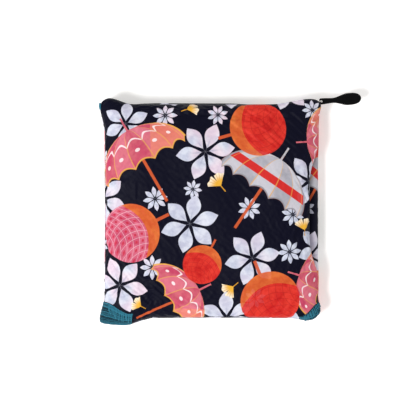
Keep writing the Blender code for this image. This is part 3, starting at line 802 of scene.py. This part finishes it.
def dye_group():
    """Uneven dye: a colour lightened and darkened by two sizes of soft noise."""
    given, result = open_group(
        "Uneven dye", (("Colour", "Color", None), ("Place", "Vector", None), ("Amount", "Float", 0.15)),
        (("Colour", "Color"),))
    cloud = noise(given["Place"], 60.0) * 0.6 + noise(given["Place"], 700.0) * 0.4
    node = new_node("HueSaturation", cloud)
    feed(node.inputs["Value"], (cloud - 0.5) * given["Amount"] * 2.0 + 1.0)
    feed(node.inputs["Color"], given["Colour"])
    feed(result["Colour"], Wire(node.outputs[0]))
    return result["Colour"].id_data


WEAVE = weave_group()
DYE = dye_group()
print("cloth groups:", [WEAVE.name, DYE.name])

# %% [markdown]
# Every finish is one surface model whose inputs are constants or wires. What it needs to know of the
# mesh comes from named attributes, from the cloth lengths, or from the piece's own coordinates. The
# plainest finish, that of the zip's coils, is all constants.

# %% Materials and what they read


def new_material(name, roughness, **others):
    """A material with its surface model set; returns it and the inputs of its surface."""
    material = bpy.data.materials.new(name)
    material.use_nodes = True
    surface = next(node for node in material.node_tree.nodes if node.type == "BSDF_PRINCIPLED").inputs
    surface["Roughness"].default_value = roughness
    for title, value in others.items():
        surface[title.replace("_", " ")].default_value = value
    return material, surface


def attribute(material, name, kind):
    """A named attribute of the mesh, as a Vector or as a Fac."""
    node = material.node_tree.nodes.new("ShaderNodeAttribute")
    node.attribute_name = name
    return Wire(node.outputs[kind])


def cloth_place(material):
    """A point's place in the cloth lengths of its piece, in metres."""
    node = material.node_tree.nodes.new("ShaderNodeUVMap")
    node.uv_map = "Cloth"
    return Wire(node.outputs[0])


def object_place(material):
    """A point's place in the piece's own coordinates, in metres."""
    return Wire(material.node_tree.nodes.new("ShaderNodeTexCoord").outputs["Object"])


def use_group(group, **values):
    """The group as a node, fed by socket name, where an underscore stands for a space."""
    node = new_node("Group", *values.values())
    node.node_tree = group
    for title, value in values.items():
        feed(node.inputs[title.replace("_", " ")], value)
    return {socket.name: Wire(socket) for socket in node.outputs}


COIL_BLACK, _ = new_material("zip coil", 0.35, Base_Color=paint(22, 22, 26), Specular_IOR_Level=0.5)
print("plainest finish:", COIL_BLACK.name)

# %% [markdown]
# The order of the motifs is the order in which they would be pasted on paper, so flowers lie under
# parasols and balls. The print follows the cloth's own lengths. The tapes and the tote are of one
# colour, so plain coordinates are enough there.

# %% The printed nylon and the plain cloths
GROUND = paint(9, 9, 28)
MOTIFS = {
    "large flowers": LARGE_FLOWER, "small flowers": SMALL_FLOWER, "parasols": PARASOL,
    "thread balls": BALL, "leaves": LEAF}


def printed_nylon():
    """The ground colour with each kind of motif laid over it, woven, unevenly dyed, and given painted
    shade.
    """
    material, surface = new_material(
        "printed nylon", 0.5, Sheen_Weight=0.010, Sheen_Roughness=0.35, Specular_IOR_Level=0.07)
    colour = GROUND
    for kind, group in MOTIFS.items():
        tone = attribute(material, kind + " tone", "Fac")
        motif = use_group(group, Place=attribute(material, kind, "Vector"), Tone=tone)
        colour = colour_mix(motif["Mask"] * 0.96, colour, motif["Colour"])
    place = cloth_place(material)
    dyed = use_group(DYE, Colour=colour, Place=place, Amount=0.16)["Colour"]
    weave = use_group(WEAVE, Place=place, Pitch=0.45 * MM, Depth=0.35)
    # Painted shade: the colour is darkened where the weave's threads dip, and so a little all over.
    shade = 1.0 - (1.0 - weave["Shade"]) * 0.28
    feed(surface["Base Color"], colour_mix(1.0, dyed, shade, "MULTIPLY"))
    feed(surface["Normal"], weave["Normal"])
    return material


def plain_cloth(name, colour, pitch, depth):
    """One colour of woven cloth, placed by object coordinates."""
    material, surface = new_material(name, 0.7, Sheen_Weight=0.1, Specular_IOR_Level=0.3)
    place = object_place(material)
    feed(surface["Base Color"], use_group(DYE, Colour=colour, Place=place, Amount=0.25)["Colour"])
    feed(surface["Normal"], use_group(WEAVE, Place=place, Pitch=pitch, Depth=depth)["Normal"])
    return material


PRINTED = printed_nylon()
FOLDED = plain_cloth("folded nylon", GROUND, 0.45 * MM, 0.3)
TAPE = plain_cloth("zip tape", paint(24, 24, 28), 0.6 * MM, 0.7)
print("cloth materials:", [material.name for material in (PRINTED, FOLDED, TAPE)])

# %% [markdown]
# The cloth is simulated on a coarse grid, because the solver's time grows fast with the points. A
# finer grid is filled in afterwards. Straight lines between the points would show as facets, so each
# new point lies on a cubic curve through its four neighbours.

# %% A finer grid from a coarse one


def refined(grid):
    """A grid of twice as many cells: a new value between two is 9 of each less 1 of each next, over 16."""
    for axis in (0, 1):
        grid = np.moveaxis(grid, axis, 0)
        wide = np.concatenate([2.0 * grid[:1] - grid[1:2], grid, 2.0 * grid[-1:] - grid[-2:-1]])
        fine = np.empty((2 * len(grid) - 1,) + grid.shape[1:])
        fine[::2] = grid
        fine[1::2] = (9.0 * (wide[1:-2] + wide[2:-1]) - (wide[:-3] + wide[3:])) / 16.0
        grid = np.moveaxis(fine, 0, axis)
    return grid


print("a grid of 4 x 4 points becomes one of", "{} x {}".format(*refined(np.zeros((4, 4))).shape))

# %% [markdown]
# The front panel is a little larger than the space that it is sewn into, so it buckles: long folds
# run across the corners, and short ones along the hems. That is what a cloth simulation is good at.
# The panel is let settle on the folded tote with its hem held, from a coarse grid whose cloth is
# made two hundredths too large. It runs at ten times the size, where the solver keeps its
# precision, and only the way that each point moved is kept.

# %% Let the front panel settle on the tote
FRONT_CELLS = 190
FRONT_INSET = 0.05 * MM
CORE_CELLS = 60
CORE_BELOW = 1.2 * MM
SIM_SCALE = 10.0
SIM_FRAMES = 24
TOO_LARGE = 0.022


def sewn_patches(u, v):
    """1 where the corner threads hold the cloth flat, 0 elsewhere."""
    left = ease((-0.64 - u) * 12.0) * ease((-0.72 - v) * 12.0)
    right = ease((u - 0.74) * 12.0) * ease((-0.82 - v) * 12.0)
    return np.maximum(left, right)


def temporary(name, points):
    """A plain mesh of a grid of points, for the simulation only."""
    mesh = bpy.data.meshes.new(name)
    mesh.from_pydata(points.reshape(-1, 3).tolist(), [], quads_of_grid(*points.shape[:2])[:, ::-1].tolist())
    made = bpy.data.objects.new(name, mesh)
    bpy.context.scene.collection.objects.link(made)
    return made


def settle(u, v, start):
    """How far each point of the panel moves while its cloth, a little too large, comes to rest."""
    panel = temporary("settling_panel", start * SIM_SCALE)
    core = temporary("settling_core", front_form(*panel_grid(CORE_CELLS), -CORE_BELOW) * SIM_SCALE)
    core.modifiers.new("Core", "COLLISION")
    core.collision.thickness_outer = 0.004
    core.collision.cloth_friction = 3.0
    last_inner = crowded_steps(FRONT_CELLS // 2)[-2]
    hem = (np.maximum(np.abs(u), np.abs(v)) > last_inner - 0.001).astype(float)
    held = np.maximum(hem, sewn_patches(u, v)).ravel().round(1)
    group = panel.vertex_groups.new(name="held")
    for weight in np.unique(held)[1:]:
        group.add(np.flatnonzero(held == weight).tolist(), float(weight), "REPLACE")
    cloth = panel.modifiers.new("Cloth", "CLOTH")
    cloth.settings.quality = 6
    cloth.settings.mass = 0.08
    cloth.settings.tension_stiffness = 20.0
    cloth.settings.compression_stiffness = 20.0
    cloth.settings.shear_stiffness = 8.0
    cloth.settings.bending_stiffness = 0.3
    cloth.settings.air_damping = 2.0
    cloth.settings.vertex_group_mass = group.name
    cloth.settings.shrink_min = -TOO_LARGE
    cloth.settings.shrink_max = -TOO_LARGE
    cloth.settings.effector_weights.gravity = 0.5
    cloth.collision_settings.distance_min = 0.006
    cloth.collision_settings.collision_quality = 3
    cloth.point_cache.frame_start = 1
    cloth.point_cache.frame_end = SIM_FRAMES
    for frame_number in range(1, SIM_FRAMES + 1):
        bpy.context.scene.frame_set(frame_number)
    settled = panel.evaluated_get(bpy.context.evaluated_depsgraph_get()).to_mesh()
    place = np.zeros(start.size, dtype=np.float32)
    settled.vertices.foreach_get("co", place)
    bpy.context.scene.frame_set(1)
    for used in (panel, core):
        mesh = used.data
        bpy.data.objects.remove(used)
        bpy.data.meshes.remove(mesh)
    return place.reshape(start.shape) / SIM_SCALE - start


u, v = panel_grid(FRONT_CELLS)
front = front_form(u, v, -FRONT_INSET)
across_cloth, along_cloth = cloth_lengths(front)
moved = refined(settle(u[::2, ::2], v[::2, ::2], front[::2, ::2]))
print("the panel moved by up to, mm:", round(float(np.abs(moved).max()) / MM, 2))

# %% [markdown]
# The print lies in cloth lengths, which are taken before the cloth buckles, so it bends with the
# folds. Fine puckers are added along the hems, where the thread draws the cloth up between stitches
# that are closer than the simulation's grid. The sheet's flat size is the greatest length along the
# cloth each way, as measured above.

# %% The front panel


def panel_cloth(name, points, quads, across, along, stands_for, **print_place):
    """A panel's mesh in printed nylon, with its cloth lengths and motifs kept in it, made thick."""
    cloth = mesh_object(name, points, quads, PRINTED)
    store_uv(cloth.data, across, along)
    place_motifs(cloth.data, across, along, **print_place)
    thicken = cloth.modifiers.new("Thickness", "SOLIDIFY")
    thicken.thickness = CLOTH
    thicken.offset = -1.0
    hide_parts(stands_for)
    print(name, "has", len(cloth.data.vertices), "points")
    return cloth


puckers = edge_puckers(u, v, front[..., 0], front[..., 1], depth=0.16 * MM, reach=0.12)
front = lifted(front + moved, puckers * (1.0 - sewn_patches(u, v)))
quads = quads_of_grid(*u.shape)[:, ::-1]
front_cloth = panel_cloth("front_panel_cloth", front, quads, across_cloth, along_cloth, "pouch_front")

# %% [markdown]
# The back panel lies on the table and curls up round the tote. On the right it is not covered by the
# front panel, so a strip of it shows from above, in the same print at another place in the repeat.
# Its walls are looser than the front, so their puckers are deeper and point outwards.

# %% The back panel
BACK_CELLS = 160
PRINT_START = 108.0 * MM
u, v = panel_grid(BACK_CELLS)
back = back_form(u, v)
across_cloth, along_cloth = cloth_lengths(back)
on_the_wall = ease(4.0 * (1.0 - on_the_base(u, v)))
puckers = edge_puckers(u, v, back[..., 0], back[..., 1], depth=0.35 * MM, reach=0.25)
back = lifted(back, -puckers * on_the_wall)
back[..., 2] = np.maximum(back[..., 2], 0.0)
back_cloth = panel_cloth("back_panel_cloth", back, quads_of_grid(*u.shape), across_cloth, along_cloth,
                         "pouch_back", start=PRINT_START, flip=-1.0)

# %% [markdown]
# Inside lies the tote, folded in six layers. It can't be seen while the pouch is closed, so a soft
# stack with grooves between its layers is enough. Each level is a squared circle. One sine narrows it
# at the grooves, and another draws the top and the bottom layer together.

# %% The folded tote
LAYERS = 6
LEVELS = 61
ROUND = 160
SQUARE_POWER = 6
SHARE_OF_SPACE = 0.93
tote_low, tote_high = (np.array(corner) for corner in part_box("folded_bag"))
half = (tote_high - tote_low) / 2.0
centre = (tote_high + tote_low) / 2.0
share = np.linspace(0.0, 1.0, LEVELS)[:, None]
turn = np.linspace(0.0, 2.0 * math.pi, ROUND, endpoint=False)[None, :]
powers = np.abs(np.cos(turn)) ** SQUARE_POWER + np.abs(np.sin(turn)) ** SQUARE_POWER
squareness = 1.0 / powers ** (1.0 / SQUARE_POWER)
groove = np.abs(np.sin(share * LAYERS * math.pi)) ** 0.5
ends = np.sin(np.clip(np.minimum(share, 1.0 - share) * LAYERS * 2.0, 0.0, 1.0) * math.pi / 2.0)
size = SHARE_OF_SPACE * (0.975 + 0.020 * groove) * (1.0 - np.abs(2.0 * share - 1.0) ** 3 * 0.10) * ends
x = centre[0] + half[0] * size * squareness * np.cos(turn)
y = centre[1] + half[1] * size * squareness * np.sin(turn)
z = tote_low[2] + (tote_high[2] - tote_low[2]) * np.broadcast_to(share, x.shape)
quads = quads_of_grid(LEVELS, ROUND, closed_columns=True)[:, ::-1]
tote = mesh_object("folded_tote", np.stack([x, y, z], axis=-1), quads, FOLDED)
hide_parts("folded_bag")
print("folded tote:", LAYERS, "layers,", len(tote.data.vertices), "points")

# %% [markdown]
# The zip is a coil zip. Each side is one stiff thread wound into a flattened spiral and sewn to its
# tape, and the loops of one side mesh between those of the other. Here the two coils are real
# spirals, with the loops of one shifted by half a pitch.

# %% The zip's coils
COIL_WIRE = 0.24 * MM
COIL_PITCH = 1.5 * MM
POINTS_A_TURN = 20
ROUND_SIDES = 8
COIL_NEAR = 0.5 * MM
COIL_FAR = 2.1 * MM


def coil(node, side, phase):
    """A flattened spiral: an ellipse swept along the zip, one turn for each tooth."""
    low, high = (np.array(corner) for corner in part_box(node))
    turns = (high[0] - low[0] - 2.0 * COIL_WIRE) / COIL_PITCH
    count = int(turns * POINTS_A_TURN)
    angle = np.linspace(0.0, turns * 2.0 * math.pi, count) + phase
    x = np.linspace(low[0] + COIL_WIRE, high[0] - COIL_WIRE, count)
    y = (low[1] + high[1]) / 2.0 + ((high[1] - low[1]) / 2.0 - COIL_WIRE) * np.sin(angle)
    near, far = SEAM + side * (COIL_NEAR + COIL_WIRE), SEAM + side * (COIL_FAR - COIL_WIRE)
    z = (near + far) / 2.0 + (far - near) / 2.0 * np.cos(angle)
    path = np.stack([x, y, z], axis=-1)
    points, quads = tubes(path[None], COIL_WIRE, ROUND_SIDES, towards=(1.0, 0.02, 0.0))
    made = mesh_object(node.replace("zip_", ""), points, quads, COIL_BLACK)
    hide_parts(node)
    print(made.name, "has", round(turns), "turns")


coil("zip_coil_front", 1.0, 0.0)
coil("zip_coil_back", -1.0, math.pi)
for name in ("zip_tape_front", "zip_tape_back"):
    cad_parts[name].data.materials.clear()
    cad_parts[name].data.materials.append(TAPE)

# %% [markdown]
# The slider, the stops, the link and the puller are hard pieces, so their solids are shown as they
# are. Slider and stops are black metal, with a small bevel that catches the light. The link is a bent
# nickel wire, and the puller is moulded from satin black plastic. Handling leaves fine pale scuffs on
# all of them, so those are one group, and each material says how many of them show.

# %% The hard pieces


def handling_group():
    """Handling: pale scuffs where fine noise is high, and a roughness that drifts with slow noise."""
    given, result = open_group(
        "Handling",
        (("Colour", "Color", None), ("Place", "Vector", None), ("Roughness", "Float", 0.3),
         ("Wear", "Float", 0.5)),
        (("Colour", "Color"), ("Roughness", "Float")))
    scuff = between(noise(given["Place"], 900.0, 5.0, 0.65), 0.56, 0.74)
    feed(result["Colour"], colour_mix(scuff * given["Wear"], given["Colour"], paint(96, 94, 94)))
    drift = (noise(given["Place"], 240.0) - 0.5) * 0.2
    feed(result["Roughness"], drift + given["Roughness"])
    return result["Colour"].id_data


HANDLING = handling_group()


def hard_finish(name, colour, roughness, metallic, wear):
    """A smooth coat in this colour, marked by handling."""
    material, surface = new_material(name, roughness, Metallic=metallic, Specular_IOR_Level=0.11)
    worn = use_group(
        HANDLING, Colour=colour, Place=object_place(material), Roughness=roughness, Wear=wear)
    feed(surface["Base Color"], worn["Colour"])
    feed(surface["Roughness"], worn["Roughness"])
    return material


METAL = hard_finish("black metal", paint(28, 28, 30), 0.34, 0.7, 0.5)
NICKEL = hard_finish("nickel wire", paint(205, 203, 198), 0.30, 1.0, 0.3)
MOULDED = hard_finish("moulded black", paint(3, 3, 4), 0.34, 0.0, 0.04)


def dress(node, material, bevel):
    """Show a solid with its loose triangles welded, its edges rounded, and a material."""
    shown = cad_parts[node]
    shown.data.materials.clear()
    shown.data.materials.append(material)
    weld = shown.modifiers.new("Weld", "WELD")
    weld.merge_threshold = 0.01 * MM
    if bevel:
        round_off = shown.modifiers.new("Bevel", "BEVEL")
        round_off.width = bevel
        round_off.segments = 3
        round_off.limit_method = "ANGLE"
        round_off.angle_limit = math.radians(30)
    print(node, "is dressed in", material.name)


dress("slider", METAL, 0.12 * MM)
dress("link", NICKEL, 0.0)
dress("puller", MOULDED, 0.0)
for name in ("zip_top_stop_front", "zip_top_stop_back", "zip_bottom_stop"):
    dress(name, METAL, 0.05 * MM)

# %% [markdown]
# The inner seams are bound by an overlocker, whose teal thread shows where a corner is turned out.
# A spun thread is a few plies twisted together, with pale fuzz, and it is never quite one colour. So
# each thread keeps a tone of its own in the mesh, and the material adds plies and fuzz.

# %% The teal thread
PLIES = 9000.0          # radians of the sine to the metre


def thread_material():
    """Teal spun thread: a tone for each thread and painted shade on the bed, fine plies by a sine along the
    piece, and pale fuzz.
    """
    material, surface = new_material(
        "teal thread", 0.8, Sheen_Weight=0.06, Sheen_Roughness=0.4, Specular_IOR_Level=0.15)
    place = object_place(material)
    fray = (noise(place, 1400.0) - 0.5) * 0.5
    tone = between(attribute(material, "thread tone and painted shade", "Fac") + fray, 0.0, 1.0)
    feed(surface["Base Color"], colour_mix(tone, paint(1, 20, 33), paint(50, 124, 146)))
    x, y, z = split(place)
    feed(surface["Normal"], bump(maths("SINE", (x + (y + z)) * PLIES), 0.06 * MM, 0.6))
    return material


THREAD = thread_material()
print("thread material:", THREAD.name)

# %% [markdown]
# The real stitch has loose looper threads that run along the seam and lie over the cloth's edge, and
# close needle stitches across its inner border. Both are thin tubes here that follow the panel, over
# a dense bed of thread, which hides the nylon between them. The bed's dark tone is painted shade in
# the gaps between the threads.

# %% The corner threads
LOOPER_RADIUS = 0.30 * MM
LOOPER_LIFT = 0.42 * MM
LOOPER_STEP = 0.85 * MM
LOOPER_POINTS = 90
LOOPER_TONES = (0.15, 0.85)
STITCH_RADIUS = 0.24 * MM
STITCH_LIFT = 0.72 * MM
STITCH_STEP = 0.95 * MM
STITCH_POINTS = 24
STITCH_TONES = (0.75, 1.15)
STITCH_LENGTH = 0.070
STITCH_LEAN = 0.010
STITCH_OVER = 0.008
BED_LIFT = 0.30 * MM
BED_CELLS = 39
# Painted shade: the bed of thread is dark in the gaps between the threads.
BED_SHADE_TONE = 0.12


def threads(paths, radius, tones):
    """Tubes along the paths, rounded off at their ends, and the tone of each of their points."""
    share = np.linspace(-1.0, 1.0, paths.shape[1])
    taper = np.sqrt(np.clip(1.0 - np.abs(share) ** 12, 0.1, 1.0))
    points, quads = tubes(paths, radius * taper[None, :], ROUND_SIDES, towards=(0.0, 0.0, 1.0))
    return points, quads, np.repeat(tones, len(points) // len(paths))


def crowded_shares(start, end, count):
    """Shares from 0 to 1 on a cosine between two shares of its half turn, crowded at the ends."""
    return (1.0 - np.cos(np.linspace(start, end, count) * math.pi)) / 2.0


def corner_threads(node, across, along, slant, stitches_from):
    """Looper threads along a seam, needle stitches across its border, and a bed of thread below.

    All of them are curves or a grid on the front panel's form, grown outwards by a lift. The patch
    reaches across from one share to the other, and from the hem to a border that rises by the slant.
    A looper thread keeps its share of that way, so they fan out where the patch is tall. A stitch
    starts a little over the border and leans as it goes down to the hem.
    """
    (u_low, u_high), (v_low, v_high) = across, along

    def border(u):
        """The patch's inner edge, which rises by the slant in an S on its way across."""
        return v_high + slant * ease((u - u_low) / (u_high - u_low))

    count = max(3, int((v_high - v_low + abs(slant) / 2.0) * HALF_DEPTH / LOOPER_STEP))
    share = ((np.arange(count) + 0.5) / count)[:, None] ** 0.8
    u = (u_low + (u_high - u_low) * crowded_shares(0.02, 0.98, LOOPER_POINTS))[None, :]
    sway = wandering(u * HALF_WIDTH + dice.uniform(0.0, 1.0, (count, 1)), 9.0 * MM, 3)
    v = v_low + (border(u) - v_low) * np.clip(share + 0.28 / count * sway, 0.004, 0.985)
    loopers = threads(front_form(u, v, LOOPER_LIFT), LOOPER_RADIUS, dice.uniform(*LOOPER_TONES, count))

    count = max(2, int((u_high - stitches_from) * HALF_WIDTH / STITCH_STEP))
    start = np.linspace(stitches_from + 0.006, u_high - 0.006, count)[:, None]
    share = np.linspace(0.0, 1.0, STITCH_POINTS)[None, :]
    length = STITCH_LENGTH + 0.025 * dice.uniform(-1.0, 1.0, (count, 1))
    u = start + STITCH_LEAN * (share - 0.5) + 0.003 * dice.uniform(-1.0, 1.0, (count, 1))
    v = border(u) + STITCH_OVER - length * share
    stitches = threads(front_form(u, v, STITCH_LIFT), STITCH_RADIUS, dice.uniform(*STITCH_TONES, count))

    crowd = crowded_shares(0.0, 1.0, BED_CELLS + 1)
    u, share = np.meshgrid(u_low + (u_high - u_low) * crowd, crowd, indexing="xy")
    v = v_low + (border(u) - v_low) * share
    points, quads = slab(front_form(u, v, BED_LIFT), front_form(u, v))
    # The bed's dark tone is painted shade in the gaps between the threads.
    bed = points, quads, np.full(len(points), BED_SHADE_TONE)

    blocks = (loopers, stitches, bed)
    shift = np.cumsum([0, len(loopers[0]), len(stitches[0])])
    points = np.concatenate([block[0] for block in blocks])
    quads = np.concatenate([block[1] + first for block, first in zip(blocks, shift)])
    name = node.replace("corner_stitching", "corner_threads")
    made = mesh_object(name, points, quads, THREAD)
    store(made.data, "thread tone and painted shade", np.concatenate([block[2] for block in blocks]))
    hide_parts(node)
    print(name, "has", len(points), "points")


corner_threads("corner_stitching_left", (-0.998, -0.69), (-0.995, -0.785), -0.11, -0.93)
corner_threads("corner_stitching_right", (0.76, 0.995), (-0.992, -0.955), 0.14, 0.80)
corner_threads("corner_stitching_top", (-0.998, -0.975), (0.91, 0.945), 0.0, -0.996)

# %% [markdown]
# The pouch is seen from straight above on a white sheet that is nearly burnt out, with soft window
# light from the lower left. So the floor is close to white, the room is bright but for the part
# overhead, and a broad lamp stands on the left, which leaves only a faint shadow along the top and
# right edges.

# %% Floor and light
FLOOR_HALF = 2.0
FLOOR_BELOW = 0.2 * MM
ROOM_LIGHT = 0.88
OVERHEAD_LESS = 0.66

mesh = bpy.data.meshes.new("floor")
corners = [(x * FLOOR_HALF, y * FLOOR_HALF, -FLOOR_BELOW) for x, y in ((-1, -1), (1, -1), (1, 1), (-1, 1))]
mesh.from_pydata(corners, [], [(0, 1, 2, 3)])
floor = bpy.data.objects.new("floor", mesh)
bpy.context.scene.collection.objects.link(floor)
FLOOR, _ = new_material(
    "white sheet", 0.9, Base_Color=(0.90, 0.89, 0.875, 1.0), Specular_IOR_Level=0.1,
    Emission_Color=(1.0, 0.985, 0.965, 1.0), Emission_Strength=0.33)
mesh.materials.append(FLOOR)

world = bpy.context.scene.world or bpy.data.worlds.new("World")
bpy.context.scene.world = world
world.use_nodes = True
sky = next(node for node in world.node_tree.nodes if node.type == "BACKGROUND")
sky.inputs["Color"].default_value = (1.0, 1.0, 1.0, 1.0)
direction = Wire(world.node_tree.nodes.new("ShaderNodeTexCoord").outputs["Generated"])
overhead = between(split(direction)[2], 0.60, 0.85)
feed(sky.inputs["Strength"], ROOM_LIGHT - overhead * OVERHEAD_LESS)


def lamp(name, place, side, power):
    """A square lamp that faces the pouch."""
    light = bpy.data.lights.new(name, "AREA")
    light.size = side
    light.energy = power
    holder = bpy.data.objects.new(name, light)
    holder.location = place
    x, y, z = place
    holder.rotation_euler = (math.atan2(math.hypot(x, y), z), 0.0, math.atan2(-y, -x) - math.pi / 2.0)
    bpy.context.scene.collection.objects.link(holder)
    print(name, "lamp:", power, "W")


lamp("window", (-0.69, -0.42, 1.20), 0.38, 17.2)
lamp("room", (0.5, 0.7, 1.5), 1.2, 2.0)

# %% [markdown]
# A long lens from nearly a metre above keeps the edges straight, as in a picture taken for a
# catalogue. It stands a little off the pouch's middle, because the puller takes room on the right.

# %% Camera
LENS = 120.0
EYE = (-0.0023, 0.0023, 0.923)

camera = bpy.data.cameras.new("camera")
camera.lens = LENS
eye = bpy.data.objects.new("camera", camera)
eye.location = EYE
bpy.context.scene.collection.objects.link(eye)
bpy.context.scene.camera = eye
bpy.context.scene.view_settings.view_transform = "Standard"
print("camera:", LENS, "mm lens,", EYE[2], "m above the floor")

# %% [markdown]
# The dressed model has to keep the size of the solid one, because other things are fitted to that.
